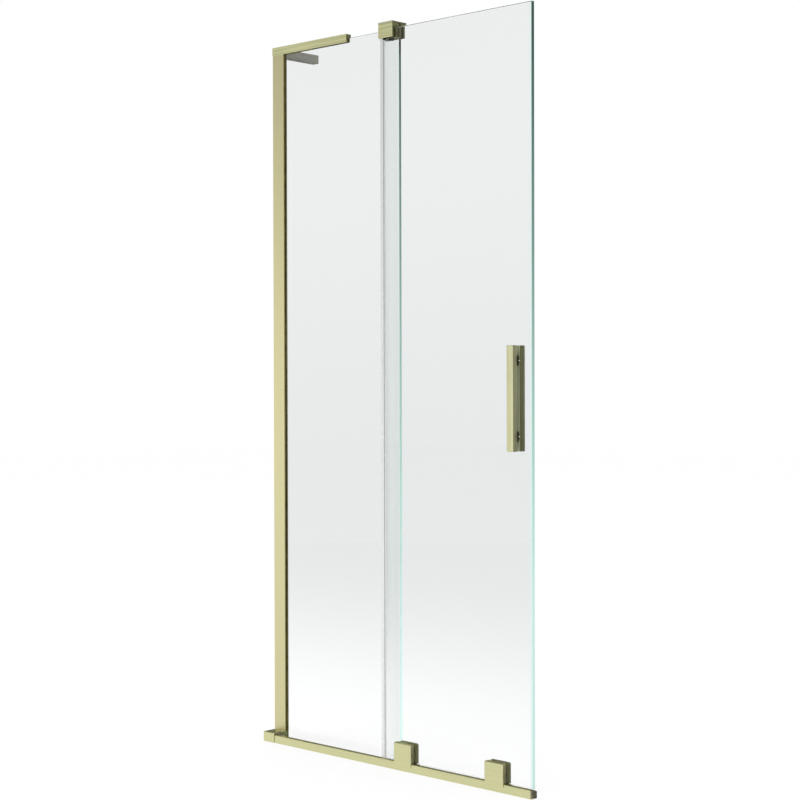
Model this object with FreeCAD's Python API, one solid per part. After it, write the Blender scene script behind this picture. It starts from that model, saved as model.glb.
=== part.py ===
import FreeCAD, Part
import os

from FreeCAD import Vector

# Sliding bath screen: a fixed pane held in a wall profile, and a sliding pane that rolls on a rim rail.
# Millimetres. The origin is the middle of the rail's underside, on the bath rim.
# +X runs along the rail away from the wall, +Y points into the bath and +Z is up.

# Whole screen
SCREEN_LENGTH = 750.0  # wall to the rail's free end
PANE_TOP = 1500.0  # rim to the sliding pane's top edge

# Glass
SLIDING_GLASS = 8.0
FIXED_GLASS = 6.0
GLASS_ARRIS = 0.5  # ground edge of every pane
PANE_GAP = 19.0  # back of the sliding pane to the front of the fixed pane
FIXED_REACH = 381.5  # wall to the fixed pane's free edge
FIXED_RISE = 4.5  # fixed pane's top edge above the sliding pane's
FIXED_BOTTOM = 2.0  # rim to the fixed pane's lower edge
FIXED_SEAL_GRIP = 5.0  # clear seal under the fixed pane, over its faces
PANE_OVERLAP = 27.5  # how far the panes overlap when the screen is drawn out
FREE_END_MARGIN = 3.8  # rail's free end to the sliding pane's free edge
RAIL_TO_PANE = 1.0  # rail's top to the sliding pane's lower edge

# Clearances
GASKET = 0.6  # rubber between glass and metal
LOOSE_FIT = 0.15  # each side of a plug or a sliding profile
PIN_FIT = 0.05  # radial, round pins and axles
GLASS_END_GAP = 1.0  # past a pane's hidden edge

# Rim rail
RAIL_DEPTH = 17.0
RAIL_HEIGHT = 16.5
TRACK_FLAT = 10.0  # level strip that the rollers run on
RAIL_BACK_HEIGHT = 13.0
RAIL_WALL = 1.8
RAIL_EDGE = 0.7
PLUG_LENGTH = 18.0  # end pieces' plugs inside the rail
END_CAP_THICKNESS = 2.5
JOINT_GASKET = 1.2  # rubber between the end block and the rail
JOINT_INSET = 0.4  # gasket's edge below the rail's faces
END_BLOCK_HEIGHT = 21.0
END_BLOCK_PROUD = 1.0  # in front of the rail's face
END_BLOCK_EDGE = 1.0
BUFFER_THICKNESS = 3.0
BUFFER_RISE = 5.0  # above the sliding pane's lower edge
GRUB_RADIUS = 2.0
GRUB_LENGTH = 5.0
GRUB_HEIGHT = 6.5  # rim to the grub screws' axis

# Wall profile and the channel inside it
PROFILE_WIDTH = 34.0
PROFILE_WALL = 1.5
GLAZING = 2.2  # rubber strips beside the glass in the profile
PROFILE_EDGE = 0.5
CHAMBER_WIDTH = 22.0  # part of the profile's width that covers the wall channel
CHAMBER_DEPTH = 18.0
CHAMBER_WALL = 1.6
CHANNEL_WIDTH = 18.0
CHANNEL_WALL = 1.5
CHANNEL_HOLE_RADIUS = 2.6
CHANNEL_HOLE_SPACINGS = (1200.0, 420.0)  # outer pair and inner pair of wall screws
PROFILE_SCREW_SPACING = 560.0
PROFILE_SCREW_COUNT = 3
SMALL_SCREW_RADIUS = 1.75
SMALL_HEAD_RADIUS = 3.4
SMALL_HEAD_HEIGHT = 1.6

# Top brace
BRACE_LENGTH = 229.5
BRACE_HEIGHT = 17.0
BRACE_SEAT = 8.5  # depth of glass inside the brace
BRACE_FRONT_WALL = 4.4
BRACE_EDGE = 0.6
SET_SCREW_RADIUS = 2.5
SET_SCREW_INSETS = (38.0, 148.0)  # from the brace's free end
LEG_LENGTH = 111.0
LEG_WIDTH = 18.0
LEG_HEIGHT = 18.5
LEG_DROP = 3.0  # leg's underside below the brace's
LEG_HOLE_SPACING = 56.0
LEG_HOLE_RADIUS = 2.75  # for wall studs
LEG_HOLE_DEPTH = 14.0
DOWEL_RADIUS = 3.0
DOWEL_LENGTH = 24.0

# Top guide
GUIDE_WIDTH = 39.5
GUIDE_OVERHANG = 7.0  # past the fixed pane's free edge
GUIDE_DROP = 22.1  # below the fixed pane's top edge
GUIDE_CROWN = 6.9  # body above the fixed pane's top edge
GUIDE_FRONT_WALL = 2.5
GUIDE_EDGE = 0.6
LINER = 1.6
LINER_GAP = 0.4  # liner to the sliding pane, each side
GUIDE_HEADROOM = 2.0  # above the sliding pane
GUIDE_CLAMP = 3.6
GUIDE_CAP = 3.0
GUIDE_CAP_LIP = 1.0  # cap past the clamp plate
GUIDE_SCREW_SPACING = 20.0
GUIDE_SCREW_RADIUS = 2.0
GUIDE_SCREW_DEPTH = 12.0
GUIDE_HEAD_RADIUS = 2.9
GUIDE_GROOVE_WIDTH = 2.4  # upright groove in each side, half way between the panes
GUIDE_GROOVE_DEPTH = 8.0
BUMPER_RADIUS = 5.0
BUMPER_HEIGHT = 4.0

# Sliding pane's edge seal and travel stop
SEAL_WALL = 1.2
SEAL_NOSE = 3.0  # in front of the pane's edge
SEAL_GRIP = 10.4  # over the pane's front
SEAL_BACK_GRIP = 5.0
STOP_GRIP = 9.4  # behind the pane
STOP_FRONT_GRIP = 4.0
STOP_WALL = 1.5
STOP_HEIGHT = 3.6
STOP_GAP = 0.4  # stop to the guide and to its bumper
STOP_LUG_REACH = 12.0  # behind the sliding pane
STOP_LUG_WIDTH = 9.0

# Roller blocks
BLOCK_WIDTH = 47.0
BLOCK_HEIGHT = 45.0
BLOCK_PROUD = 2.0  # in front of the rail's face
BLOCK_SKIRT = 5.5  # below the rail's top
BLOCK_EDGE = 2.2
CLAMP_DEPTH = 10.7
CLAMP_EDGE = 3.6
SKIRT_GAP = 0.6  # block to the rail, front and back
TRACK_GAP = 1.0  # housing above the track
LEFT_BLOCK_INSET = 63.2  # sliding pane's wall-side edge to the block's middle
RIGHT_BLOCK_INSET = 87.8  # sliding pane's free edge to the block's middle
BLOCK_SCREW_SPACING = 28.0
BLOCK_SCREW_DROP = 10.0  # below the block's top
BLOCK_SCREW_RADIUS = 2.5
BLOCK_HEAD_RADIUS = 4.5
BLOCK_HEAD_HEIGHT = 2.4
BLOCK_SCREW_BITE = 5.0
BLOCK_HOLE_RADIUS = 5.0  # in the glass

# Rollers
ROLLER_RADIUS = 11.0
ROLLER_WIDTH = 4.4
ROLLER_SETBACK = 3.7  # rail's face to the roller's middle
ROLLER_RISE = 0.25  # tread above the track
ROLLER_CROWN = 0.6
BEARING_RADIUS = 6.5
AXLE_RADIUS = 3.0
AXLE_SEAT = 1.8  # axle's length in each housing wall
CAVITY_GAP = 1.5  # round the tread
ROLLER_SIDE_GAP = 0.4

# Handle
HANDLE_LENGTH = 201.5
HANDLE_WIDTH = 16.0
OUTER_DEPTH = 12.0
INNER_DEPTH = 15.5
HANDLE_EDGE = 0.7
HANDLE_INSET = 42.1  # sliding pane's free edge to the handle's middle
HANDLE_HEIGHT = 753.5  # rim to the handle's middle
HANDLE_BOLT_SPACING = 144.0
ROSETTE_RADIUS = 12.5
ROSETTE_THICKNESS = 3.0
ROSETTE_EDGE = 0.6
FOOT_SCREW_RADIUS = 1.2
FOOT_SCREW_LENGTH = 5.0  # inside the foot's rim
FOOT_SCREW_PROUD = 0.6
SLEEVE_RADIUS = 6.0
BOLT_RADIUS = 2.5
BOLT_HEAD_RADIUS = 4.3
BOLT_HEAD_HEIGHT = 3.4
BOLT_HEAD_SINK = 0.4
BOLT_BITE = 8.0  # into the outer bar

# Places along the screen
WALL = -SCREEN_LENGTH / 2
FREE_END = SCREEN_LENGTH / 2
PROFILE_SIDE = WALL + PROFILE_WIDTH
RAIL_START = PROFILE_SIDE + JOINT_GASKET
FIXED_LEFT = WALL + CHAMBER_WIDTH + GLASS_END_GAP
FIXED_RIGHT = WALL + FIXED_REACH
SLIDE_LEFT = FIXED_RIGHT - PANE_OVERLAP
SLIDE_RIGHT = FREE_END - FREE_END_MARGIN
GUIDE_RIGHT = FIXED_RIGHT + GUIDE_OVERHANG
GUIDE_LEFT = GUIDE_RIGHT - GUIDE_WIDTH
GUIDE_MIDDLE = (GUIDE_LEFT + GUIDE_RIGHT) / 2
BLOCK_MIDDLES = {
    "left": SLIDE_LEFT + LEFT_BLOCK_INSET,
    "right": SLIDE_RIGHT - RIGHT_BLOCK_INSET,
}
HANDLE_MIDDLE = SLIDE_RIGHT - HANDLE_INSET

# Places across the screen
RAIL_FRONT = -RAIL_DEPTH / 2
RAIL_BACK = RAIL_DEPTH / 2
BLOCK_FRONT = RAIL_FRONT - BLOCK_PROUD
CLAMP_FRONT = RAIL_BACK + SKIRT_GAP
BLOCK_BACK = CLAMP_FRONT + CLAMP_DEPTH
SLIDE_BACK = CLAMP_FRONT - GASKET
SLIDE_FRONT = SLIDE_BACK - SLIDING_GLASS
HOUSING_BACK = SLIDE_FRONT - GASKET
ROLLER_MIDDLE = RAIL_FRONT + ROLLER_SETBACK
FIXED_FRONT = SLIDE_BACK + PANE_GAP
FIXED_BACK = FIXED_FRONT + FIXED_GLASS
SEAT_FRONT = FIXED_FRONT - GASKET
SEAT_BACK = FIXED_BACK + GASKET
POCKET_FRONT = FIXED_FRONT - GLAZING
POCKET_BACK = FIXED_BACK + GLAZING
PROFILE_FRONT = POCKET_FRONT - PROFILE_WALL
POCKET_SIDE = POCKET_BACK + PROFILE_WALL
PROFILE_BACK = PROFILE_FRONT + CHAMBER_DEPTH
BRACE_FRONT = SEAT_FRONT - BRACE_FRONT_WALL
BRACE_BACK = POCKET_SIDE
GUIDE_SLOT_FRONT = SLIDE_FRONT - LINER_GAP - LINER
GUIDE_SLOT_BACK = SLIDE_BACK + LINER_GAP + LINER
GUIDE_FRONT = GUIDE_SLOT_FRONT - GUIDE_FRONT_WALL
GUIDE_BACK = SEAT_BACK + GUIDE_CLAMP
BETWEEN_PANES = (GUIDE_SLOT_BACK + SEAT_FRONT) / 2

# Heights
PANE_BOTTOM = RAIL_HEIGHT + RAIL_TO_PANE
FIXED_TOP = PANE_TOP + FIXED_RISE
PROFILE_TOP = FIXED_TOP - BRACE_SEAT
BRACE_TOP = PROFILE_TOP + BRACE_HEIGHT
LEG_BOTTOM = PROFILE_TOP - LEG_DROP
GUIDE_BOTTOM = FIXED_TOP - GUIDE_DROP
GUIDE_TOP = FIXED_TOP + GUIDE_CROWN
STOP_TOP = GUIDE_BOTTOM - STOP_GAP
STOP_BOTTOM = STOP_TOP - STOP_HEIGHT
BLOCK_BOTTOM = RAIL_HEIGHT - BLOCK_SKIRT
BLOCK_TOP = BLOCK_BOTTOM + BLOCK_HEIGHT
BLOCK_SCREW_HEIGHT = BLOCK_TOP - BLOCK_SCREW_DROP
AXLE_HEIGHT = RAIL_HEIGHT + ROLLER_RISE + ROLLER_RADIUS


def box(x, y, z):
    """Block between three pairs of low and high coordinates."""
    return Part.makeBox(x[1] - x[0], y[1] - y[0], z[1] - z[0], Vector(x[0], y[0], z[0]))


def soft_box(x, y, z, radius):
    """Block with all its edges rounded."""
    block = box(x, y, z)
    return block.makeFillet(radius, block.Edges)


def rod_x(radius, x, y, z):
    """Round bar along X, between a pair of X coordinates."""
    return Part.makeCylinder(radius, x[1] - x[0], Vector(x[0], y, z), Vector(1, 0, 0))


def rod_y(radius, x, y, z):
    """Round bar along Y, between a pair of Y coordinates."""
    return Part.makeCylinder(radius, y[1] - y[0], Vector(x, y[0], z), Vector(0, 1, 0))


def rod_z(radius, x, y, z):
    """Round bar along Z, between a pair of Z coordinates."""
    return Part.makeCylinder(radius, z[1] - z[0], Vector(x, y, z[0]), Vector(0, 0, 1))


def pair(middle, spacing):
    """Two places set evenly about a middle."""
    return (middle - spacing / 2, middle + spacing / 2)


def band(middle, width):
    """Low and high coordinates of a width set evenly about a middle."""
    return (middle - width / 2, middle + width / 2)


def edges_along(shape, direction):
    """Straight edges of a shape that run along one axis."""
    wanted = Vector(*direction)
    found = []
    for edge in shape.Edges:
        span = edge.Vertexes[-1].Point - edge.Vertexes[0].Point
        if span.Length > 0 and abs(abs(span.normalize().dot(wanted)) - 1) < 1e-6:
            found.append(edge)
    return found


def cut_all(shape, tools):
    """A shape with a list of tools taken out of it."""
    for tool in tools:
        shape = shape.cut(tool)
    return shape


def fuse_all(shapes):
    """One clean solid from shapes that meet."""
    whole = shapes[0].multiFuse(shapes[1:])
    return whole.removeSplitter()


def ground_pane(x, y, z, holes):
    """Sheet of glass with a ground arris round its outline and drilled holes."""
    sheet = box(x, y, z)
    sheet = sheet.makeChamfer(GLASS_ARRIS, sheet.Edges)
    return cut_all(sheet, holes)


# Rim rail


def rail_outline(inset):
    """Section of the rail in the YZ plane, drawn in by an inset."""
    corners = [
        Vector(0, RAIL_FRONT, 0),
        Vector(0, RAIL_BACK, 0),
        Vector(0, RAIL_BACK, RAIL_BACK_HEIGHT),
        Vector(0, RAIL_FRONT + TRACK_FLAT, RAIL_HEIGHT),
        Vector(0, RAIL_FRONT, RAIL_HEIGHT),
    ]
    wire = Part.makePolygon(corners + corners[:1])
    if inset > 0:
        wire = wire.makeOffset2D(-inset, 2)
    return Part.Face(wire)


def rail_length(inset, x):
    """Length of the rail's section between a pair of X coordinates."""
    section = rail_outline(inset)
    section.translate(Vector(x[0], 0, 0))
    return section.extrude(Vector(x[1] - x[0], 0, 0))


def grub_places():
    """Where the grub screws pin the rail to its two end pieces."""
    return (RAIL_START + PLUG_LENGTH / 2, FREE_END - END_CAP_THICKNESS - PLUG_LENGTH / 2)


def grub(x, radius):
    """Grub screw through the rail's back wall into a plug."""
    return rod_y(radius, x, (RAIL_BACK - GRUB_LENGTH, RAIL_BACK), GRUB_HEIGHT)


def rail():
    span = (RAIL_START, FREE_END - END_CAP_THICKNESS)
    bar = rail_length(0, span)
    bar = bar.makeFillet(RAIL_EDGE, edges_along(bar, (1, 0, 0)))
    bar = bar.cut(rail_length(RAIL_WALL, span))
    return cut_all(bar, [grub(x, GRUB_RADIUS + PIN_FIT) for x in grub_places()])


def rail_end_cap():
    joint = FREE_END - END_CAP_THICKNESS
    plate = rail_length(0, (joint, FREE_END))
    plate = plate.makeFillet(RAIL_EDGE, edges_along(plate, (1, 0, 0)))
    plug = rail_length(RAIL_WALL + LOOSE_FIT, (joint - PLUG_LENGTH, joint))
    cap = fuse_all([plate, plug])
    return cap.cut(grub(grub_places()[1], GRUB_RADIUS + PIN_FIT))


def rail_end_block():
    front = RAIL_FRONT - END_BLOCK_PROUD
    height = (0, END_BLOCK_HEIGHT)
    pocket_part = box((WALL, PROFILE_SIDE), (front, POCKET_SIDE), height)
    chamber_part = box((WALL, WALL + CHAMBER_WIDTH), (front, PROFILE_BACK), height)
    body = fuse_all([pocket_part, chamber_part])
    body = body.makeFillet(END_BLOCK_EDGE, body.Edges)
    plug = rail_length(RAIL_WALL + LOOSE_FIT, (PROFILE_SIDE - END_BLOCK_EDGE, RAIL_START + PLUG_LENGTH))
    body = fuse_all([body, plug])
    glass_slot = box(
        (WALL + CHAMBER_WIDTH, PROFILE_SIDE),
        (SEAT_FRONT, SEAT_BACK),
        (FIXED_BOTTOM, END_BLOCK_HEIGHT),
    )
    return cut_all(body, [glass_slot, grub(grub_places()[0], GRUB_RADIUS + PIN_FIT)])


def rail_gasket():
    """Rubber ring between the end block and the rail."""
    span = (PROFILE_SIDE, RAIL_START)
    return rail_length(JOINT_INSET, span).cut(rail_length(RAIL_WALL, span))


def rail_buffer():
    """Rubber pad that stops the sliding pane at the wall end."""
    return box(
        (PROFILE_SIDE, PROFILE_SIDE + BUFFER_THICKNESS),
        (SLIDE_FRONT, SLIDE_BACK),
        (RAIL_HEIGHT, PANE_BOTTOM + BUFFER_RISE),
    )


def rail_grub_screws():
    return Part.makeCompound([grub(x, GRUB_RADIUS) for x in grub_places()])


# Wall profile


def profile_screw_heights():
    """Heights of the small screws that hold the profile to the wall channel."""
    middle = (END_BLOCK_HEIGHT + LEG_BOTTOM) / 2
    offset = (PROFILE_SCREW_COUNT - 1) / 2
    return [middle + (i - offset) * PROFILE_SCREW_SPACING for i in range(PROFILE_SCREW_COUNT)]


def profile_screw_holes():
    """Holes through the back of the profile and the channel's back flange."""
    flange = CHAMBER_WALL + LOOSE_FIT + CHANNEL_WALL
    x = WALL + CHANNEL_WIDTH / 2
    span = (PROFILE_BACK - flange, PROFILE_BACK)
    return [rod_y(SMALL_SCREW_RADIUS + PIN_FIT, x, span, z) for z in profile_screw_heights()]


def wall_channel():
    outer_y = (PROFILE_FRONT + CHAMBER_WALL + LOOSE_FIT, PROFILE_BACK - CHAMBER_WALL - LOOSE_FIT)
    height = (END_BLOCK_HEIGHT, LEG_BOTTOM)
    body = box((WALL, WALL + CHANNEL_WIDTH), outer_y, height)
    hollow = box(
        (WALL + CHANNEL_WALL, WALL + CHANNEL_WIDTH),
        (outer_y[0] + CHANNEL_WALL, outer_y[1] - CHANNEL_WALL),
        height,
    )
    middle_y = sum(outer_y) / 2
    middle_z = sum(height) / 2
    holes = []
    for spacing in CHANNEL_HOLE_SPACINGS:
        for z in pair(middle_z, spacing):
            holes.append(rod_x(CHANNEL_HOLE_RADIUS, (WALL, WALL + CHANNEL_WALL), middle_y, z))
    return cut_all(body, [hollow] + holes + profile_screw_holes())


def glass_profile():
    height = (END_BLOCK_HEIGHT, PROFILE_TOP)
    pocket_part = box((WALL, PROFILE_SIDE), (PROFILE_FRONT, POCKET_SIDE), height)
    chamber_part = box((WALL, WALL + CHAMBER_WIDTH), (PROFILE_FRONT, PROFILE_BACK), height)
    body = fuse_all([pocket_part, chamber_part])
    body = body.makeFillet(PROFILE_EDGE, edges_along(body, (0, 0, 1)))
    chamber = box(
        (WALL, WALL + CHAMBER_WIDTH - CHAMBER_WALL),
        (PROFILE_FRONT + CHAMBER_WALL, PROFILE_BACK - CHAMBER_WALL),
        height,
    )
    pocket = box((WALL + CHAMBER_WIDTH, PROFILE_SIDE), (POCKET_FRONT, POCKET_BACK), height)
    leg_notch = box(
        (WALL, WALL + CHAMBER_WIDTH),
        (POCKET_SIDE, PROFILE_BACK),
        (LEG_BOTTOM, PROFILE_TOP),
    )
    return cut_all(body, [chamber, pocket, leg_notch] + profile_screw_holes())


def profile_screws():
    """Small screws with round heads, from behind, into the wall channel."""
    flange = CHAMBER_WALL + LOOSE_FIT + CHANNEL_WALL
    x = WALL + CHANNEL_WIDTH / 2
    screws = []
    for z in profile_screw_heights():
        shank = rod_y(SMALL_SCREW_RADIUS, x, (PROFILE_BACK - flange, PROFILE_BACK), z)
        head = rod_y(SMALL_HEAD_RADIUS, x, (PROFILE_BACK, PROFILE_BACK + SMALL_HEAD_HEIGHT), z)
        head = head.makeFillet(SMALL_HEAD_HEIGHT / 2, [head.Edges[0]])
        screws.append(fuse_all([shank, head]))
    return Part.makeCompound(screws)


def glazing_gasket(y):
    """Rubber strip between one face of the fixed pane and the wall profile."""
    return box((FIXED_LEFT, PROFILE_SIDE), y, (END_BLOCK_HEIGHT, PROFILE_TOP))


def fixed_pane():
    return ground_pane((FIXED_LEFT, FIXED_RIGHT), (FIXED_FRONT, FIXED_BACK), (FIXED_BOTTOM, FIXED_TOP), [])


def fixed_pane_seal():
    """Clear channel under the fixed pane, on the rim."""
    span = (PROFILE_SIDE, FIXED_RIGHT)
    body = box(span, (FIXED_FRONT - SEAL_WALL, FIXED_BACK + SEAL_WALL), (0, FIXED_BOTTOM + FIXED_SEAL_GRIP))
    return body.cut(box(span, (FIXED_FRONT, FIXED_BACK), (FIXED_BOTTOM, FIXED_BOTTOM + FIXED_SEAL_GRIP)))


# Top brace


def set_screw(inset, radius):
    """Set screw through the brace's back wall, on the gasket."""
    return rod_y(radius, WALL + BRACE_LENGTH - inset, (SEAT_BACK, BRACE_BACK), PROFILE_TOP + BRACE_SEAT / 2)


def brace_dowel(radius=DOWEL_RADIUS):
    """Pin that joins the brace and its leg end to side."""
    height = (PROFILE_TOP + LEG_BOTTOM + LEG_HEIGHT) / 2
    return rod_y(radius, WALL + LEG_WIDTH / 2, band(BRACE_BACK, DOWEL_LENGTH), height)


def brace_bar():
    end = WALL + BRACE_LENGTH
    body = soft_box((WALL, end), (BRACE_FRONT, BRACE_BACK), (PROFILE_TOP, BRACE_TOP), BRACE_EDGE)
    slot = box((WALL + CHAMBER_WIDTH, end), (SEAT_FRONT, SEAT_BACK), (PROFILE_TOP, FIXED_TOP + GASKET))
    screws = [set_screw(inset, SET_SCREW_RADIUS + PIN_FIT) for inset in SET_SCREW_INSETS]
    return cut_all(body, [slot, brace_dowel(DOWEL_RADIUS + PIN_FIT)] + screws)


def brace_leg():
    span = (BRACE_BACK, BRACE_BACK + LEG_LENGTH)
    body = box((WALL, WALL + LEG_WIDTH), span, (LEG_BOTTOM, LEG_BOTTOM + LEG_HEIGHT))
    body = body.makeFillet(BRACE_EDGE, edges_along(body, (0, 1, 0)))
    middle_z = LEG_BOTTOM + LEG_HEIGHT / 2
    holes = [brace_dowel(DOWEL_RADIUS + PIN_FIT)]
    for y in pair(sum(span) / 2, LEG_HOLE_SPACING):
        holes.append(rod_x(LEG_HOLE_RADIUS, (WALL, WALL + LEG_HOLE_DEPTH), y, middle_z))
    return cut_all(body, holes)


def brace_gasket():
    """Rubber channel over the fixed pane's top edge, inside the brace."""
    span = (FIXED_LEFT, WALL + BRACE_LENGTH)
    body = box(span, (SEAT_FRONT, SEAT_BACK), (PROFILE_TOP, FIXED_TOP + GASKET))
    return body.cut(box(span, (FIXED_FRONT, FIXED_BACK), (PROFILE_TOP, FIXED_TOP)))


def brace_set_screws():
    return Part.makeCompound([set_screw(inset, SET_SCREW_RADIUS) for inset in SET_SCREW_INSETS])


# Top guide


def guide_screw_height():
    """Height of the screws that pass over the fixed pane."""
    return (FIXED_TOP + GASKET + GUIDE_TOP) / 2


def guide_screw_holes():
    span = (SEAT_BACK - GUIDE_SCREW_DEPTH, GUIDE_BACK)
    places = pair(GUIDE_MIDDLE, GUIDE_SCREW_SPACING)
    return [rod_y(GUIDE_SCREW_RADIUS + PIN_FIT, x, span, guide_screw_height()) for x in places]


def guide_block():
    width = (GUIDE_LEFT, GUIDE_RIGHT)
    body = soft_box(width, (GUIDE_FRONT, SEAT_BACK), (GUIDE_BOTTOM, GUIDE_TOP), GUIDE_EDGE)
    slide_slot = box(
        width,
        (GUIDE_SLOT_FRONT, GUIDE_SLOT_BACK),
        (GUIDE_BOTTOM, PANE_TOP + GUIDE_HEADROOM + LINER),
    )
    glass_rebate = box(width, (SEAT_FRONT, SEAT_BACK), (GUIDE_BOTTOM, FIXED_TOP + GASKET))
    return cut_all(body, [slide_slot, glass_rebate] + guide_grooves() + guide_screw_holes())


def guide_grooves():
    """Cutters for the upright groove in each side of the guide."""
    span = band(BETWEEN_PANES, GUIDE_GROOVE_WIDTH)
    height = (GUIDE_BOTTOM, GUIDE_TOP)
    left = box((GUIDE_LEFT, GUIDE_LEFT + GUIDE_GROOVE_DEPTH), span, height)
    right = box((GUIDE_RIGHT - GUIDE_GROOVE_DEPTH, GUIDE_RIGHT), span, height)
    return [left, right]


def guide_liner():
    """Slippery channel that the sliding pane's top edge runs in."""
    width = (GUIDE_LEFT, GUIDE_RIGHT)
    ceiling = PANE_TOP + GUIDE_HEADROOM
    body = box(width, (GUIDE_SLOT_FRONT, GUIDE_SLOT_BACK), (GUIDE_BOTTOM, ceiling + LINER))
    path = box(width, (SLIDE_FRONT - LINER_GAP, SLIDE_BACK + LINER_GAP), (GUIDE_BOTTOM, ceiling))
    return body.cut(path)


def guide_clamp():
    """Plate that grips the fixed pane from behind."""
    plate = soft_box(
        (GUIDE_LEFT, GUIDE_RIGHT), (SEAT_BACK, GUIDE_BACK), (GUIDE_BOTTOM, GUIDE_TOP), GUIDE_EDGE
    )
    return cut_all(plate, guide_screw_holes())


def guide_cap():
    """Cover plate on top of the guide."""
    span = (GUIDE_FRONT, GUIDE_BACK + GUIDE_CAP_LIP)
    return soft_box((GUIDE_LEFT, GUIDE_RIGHT), span, (GUIDE_TOP, GUIDE_TOP + GUIDE_CAP), GUIDE_EDGE)


def guide_screws():
    screws = []
    for x in pair(GUIDE_MIDDLE, GUIDE_SCREW_SPACING):
        z = guide_screw_height()
        shank = rod_y(GUIDE_SCREW_RADIUS, x, (SEAT_BACK - GUIDE_SCREW_DEPTH, GUIDE_BACK), z)
        head = rod_y(GUIDE_HEAD_RADIUS, x, (GUIDE_BACK, GUIDE_BACK + SMALL_HEAD_HEIGHT), z)
        screws.append(fuse_all([shank, head]))
    return Part.makeCompound(screws)


def guide_pads():
    """Rubber pads on both faces of the fixed pane, inside the guide."""
    area = ((GUIDE_LEFT, FIXED_RIGHT), (GUIDE_BOTTOM, FIXED_TOP))
    front = box(area[0], (SEAT_FRONT, FIXED_FRONT), area[1])
    back = box(area[0], (FIXED_BACK, SEAT_BACK), area[1])
    return Part.makeCompound([front, back])


def stop_face():
    """X of the travel stop's face that meets the bumper."""
    return SLIDE_LEFT + STOP_GRIP


def guide_bumper():
    """Rubber stud under the guide that ends the sliding pane's travel outwards."""
    x = stop_face() + STOP_GAP + BUMPER_RADIUS
    stud = rod_z(BUMPER_RADIUS, x, BETWEEN_PANES, (GUIDE_BOTTOM - BUMPER_HEIGHT, GUIDE_BOTTOM))
    return stud.makeFillet(BUMPER_HEIGHT / 5, [stud.Edges[2]])


# Sliding pane


def block_screw_places(side):
    """X of the screws that clamp one roller block to the glass."""
    return pair(BLOCK_MIDDLES[side], BLOCK_SCREW_SPACING)


def handle_bolt_heights():
    return pair(HANDLE_HEIGHT, HANDLE_BOLT_SPACING)


def sliding_pane():
    through = (SLIDE_FRONT, SLIDE_BACK)
    holes = [rod_y(SLEEVE_RADIUS, HANDLE_MIDDLE, through, z) for z in handle_bolt_heights()]
    for side in BLOCK_MIDDLES:
        for x in block_screw_places(side):
            holes.append(rod_y(BLOCK_HOLE_RADIUS, x, through, BLOCK_SCREW_HEIGHT))
    return ground_pane((SLIDE_LEFT, SLIDE_RIGHT), through, (PANE_BOTTOM, PANE_TOP), holes)


def pane_seal():
    """Clear edge seal on the sliding pane, with a longer leg in front of the glass."""
    height = (PANE_BOTTOM, STOP_BOTTOM)
    nose = SLIDE_LEFT - SEAL_NOSE
    front = box((nose, SLIDE_LEFT + SEAL_GRIP), (SLIDE_FRONT - SEAL_WALL, SLIDE_BACK), height)
    back = box((nose, SLIDE_LEFT + SEAL_BACK_GRIP), (SLIDE_BACK, SLIDE_BACK + SEAL_WALL), height)
    glass = box((SLIDE_LEFT, SLIDE_LEFT + SEAL_GRIP), (SLIDE_FRONT, SLIDE_BACK), height)
    return fuse_all([front, back]).cut(glass)


def pane_stop():
    """Clip on the sliding pane's edge whose lug meets the bumper under the guide."""
    height = (STOP_BOTTOM, STOP_TOP)
    front = box(
        (SLIDE_LEFT - SEAL_NOSE, SLIDE_LEFT + STOP_FRONT_GRIP),
        (SLIDE_FRONT - STOP_WALL, SLIDE_BACK),
        height,
    )
    back = box(
        (SLIDE_LEFT - SEAL_NOSE, stop_face()),
        (SLIDE_BACK, SLIDE_BACK + STOP_WALL),
        height,
    )
    lug = box(
        (stop_face() - STOP_LUG_WIDTH, stop_face()),
        (SLIDE_BACK + STOP_WALL, SLIDE_BACK + STOP_LUG_REACH),
        height,
    )
    glass = box((SLIDE_LEFT, stop_face()), (SLIDE_FRONT, SLIDE_BACK), height)
    return fuse_all([front, back, lug]).cut(glass)


# Roller blocks


def roller_block(side):
    """Front housing that straddles the rail and carries the roller."""
    middle = BLOCK_MIDDLES[side]
    width = band(middle, BLOCK_WIDTH)
    depth = (BLOCK_FRONT, HOUSING_BACK)
    body = box(width, depth, (BLOCK_BOTTOM, BLOCK_TOP))
    front = [e for e in body.Edges if e.CenterOfMass.y < sum(depth) / 2]
    front += edges_along(body, (0, 1, 0))
    body = body.makeFillet(BLOCK_EDGE, [e for e in front if e.CenterOfMass.z > BLOCK_BOTTOM])
    rail_path = box(
        width,
        (RAIL_FRONT - SKIRT_GAP, HOUSING_BACK),
        (BLOCK_BOTTOM, RAIL_HEIGHT + TRACK_GAP),
    )
    cavity = box(
        band(middle, 2 * (ROLLER_RADIUS + CAVITY_GAP)),
        band(ROLLER_MIDDLE, ROLLER_WIDTH + 2 * ROLLER_SIDE_GAP),
        (BLOCK_BOTTOM, AXLE_HEIGHT + ROLLER_RADIUS + CAVITY_GAP),
    )
    bore = rod_y(AXLE_RADIUS + PIN_FIT, middle, axle_span(), AXLE_HEIGHT)
    threads = (HOUSING_BACK - BLOCK_SCREW_BITE, HOUSING_BACK)
    tools = [rail_path, cavity, bore]
    for x in block_screw_places(side):
        tools.append(rod_y(BLOCK_SCREW_RADIUS + PIN_FIT, x, threads, BLOCK_SCREW_HEIGHT))
    return cut_all(body, tools)


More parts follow.
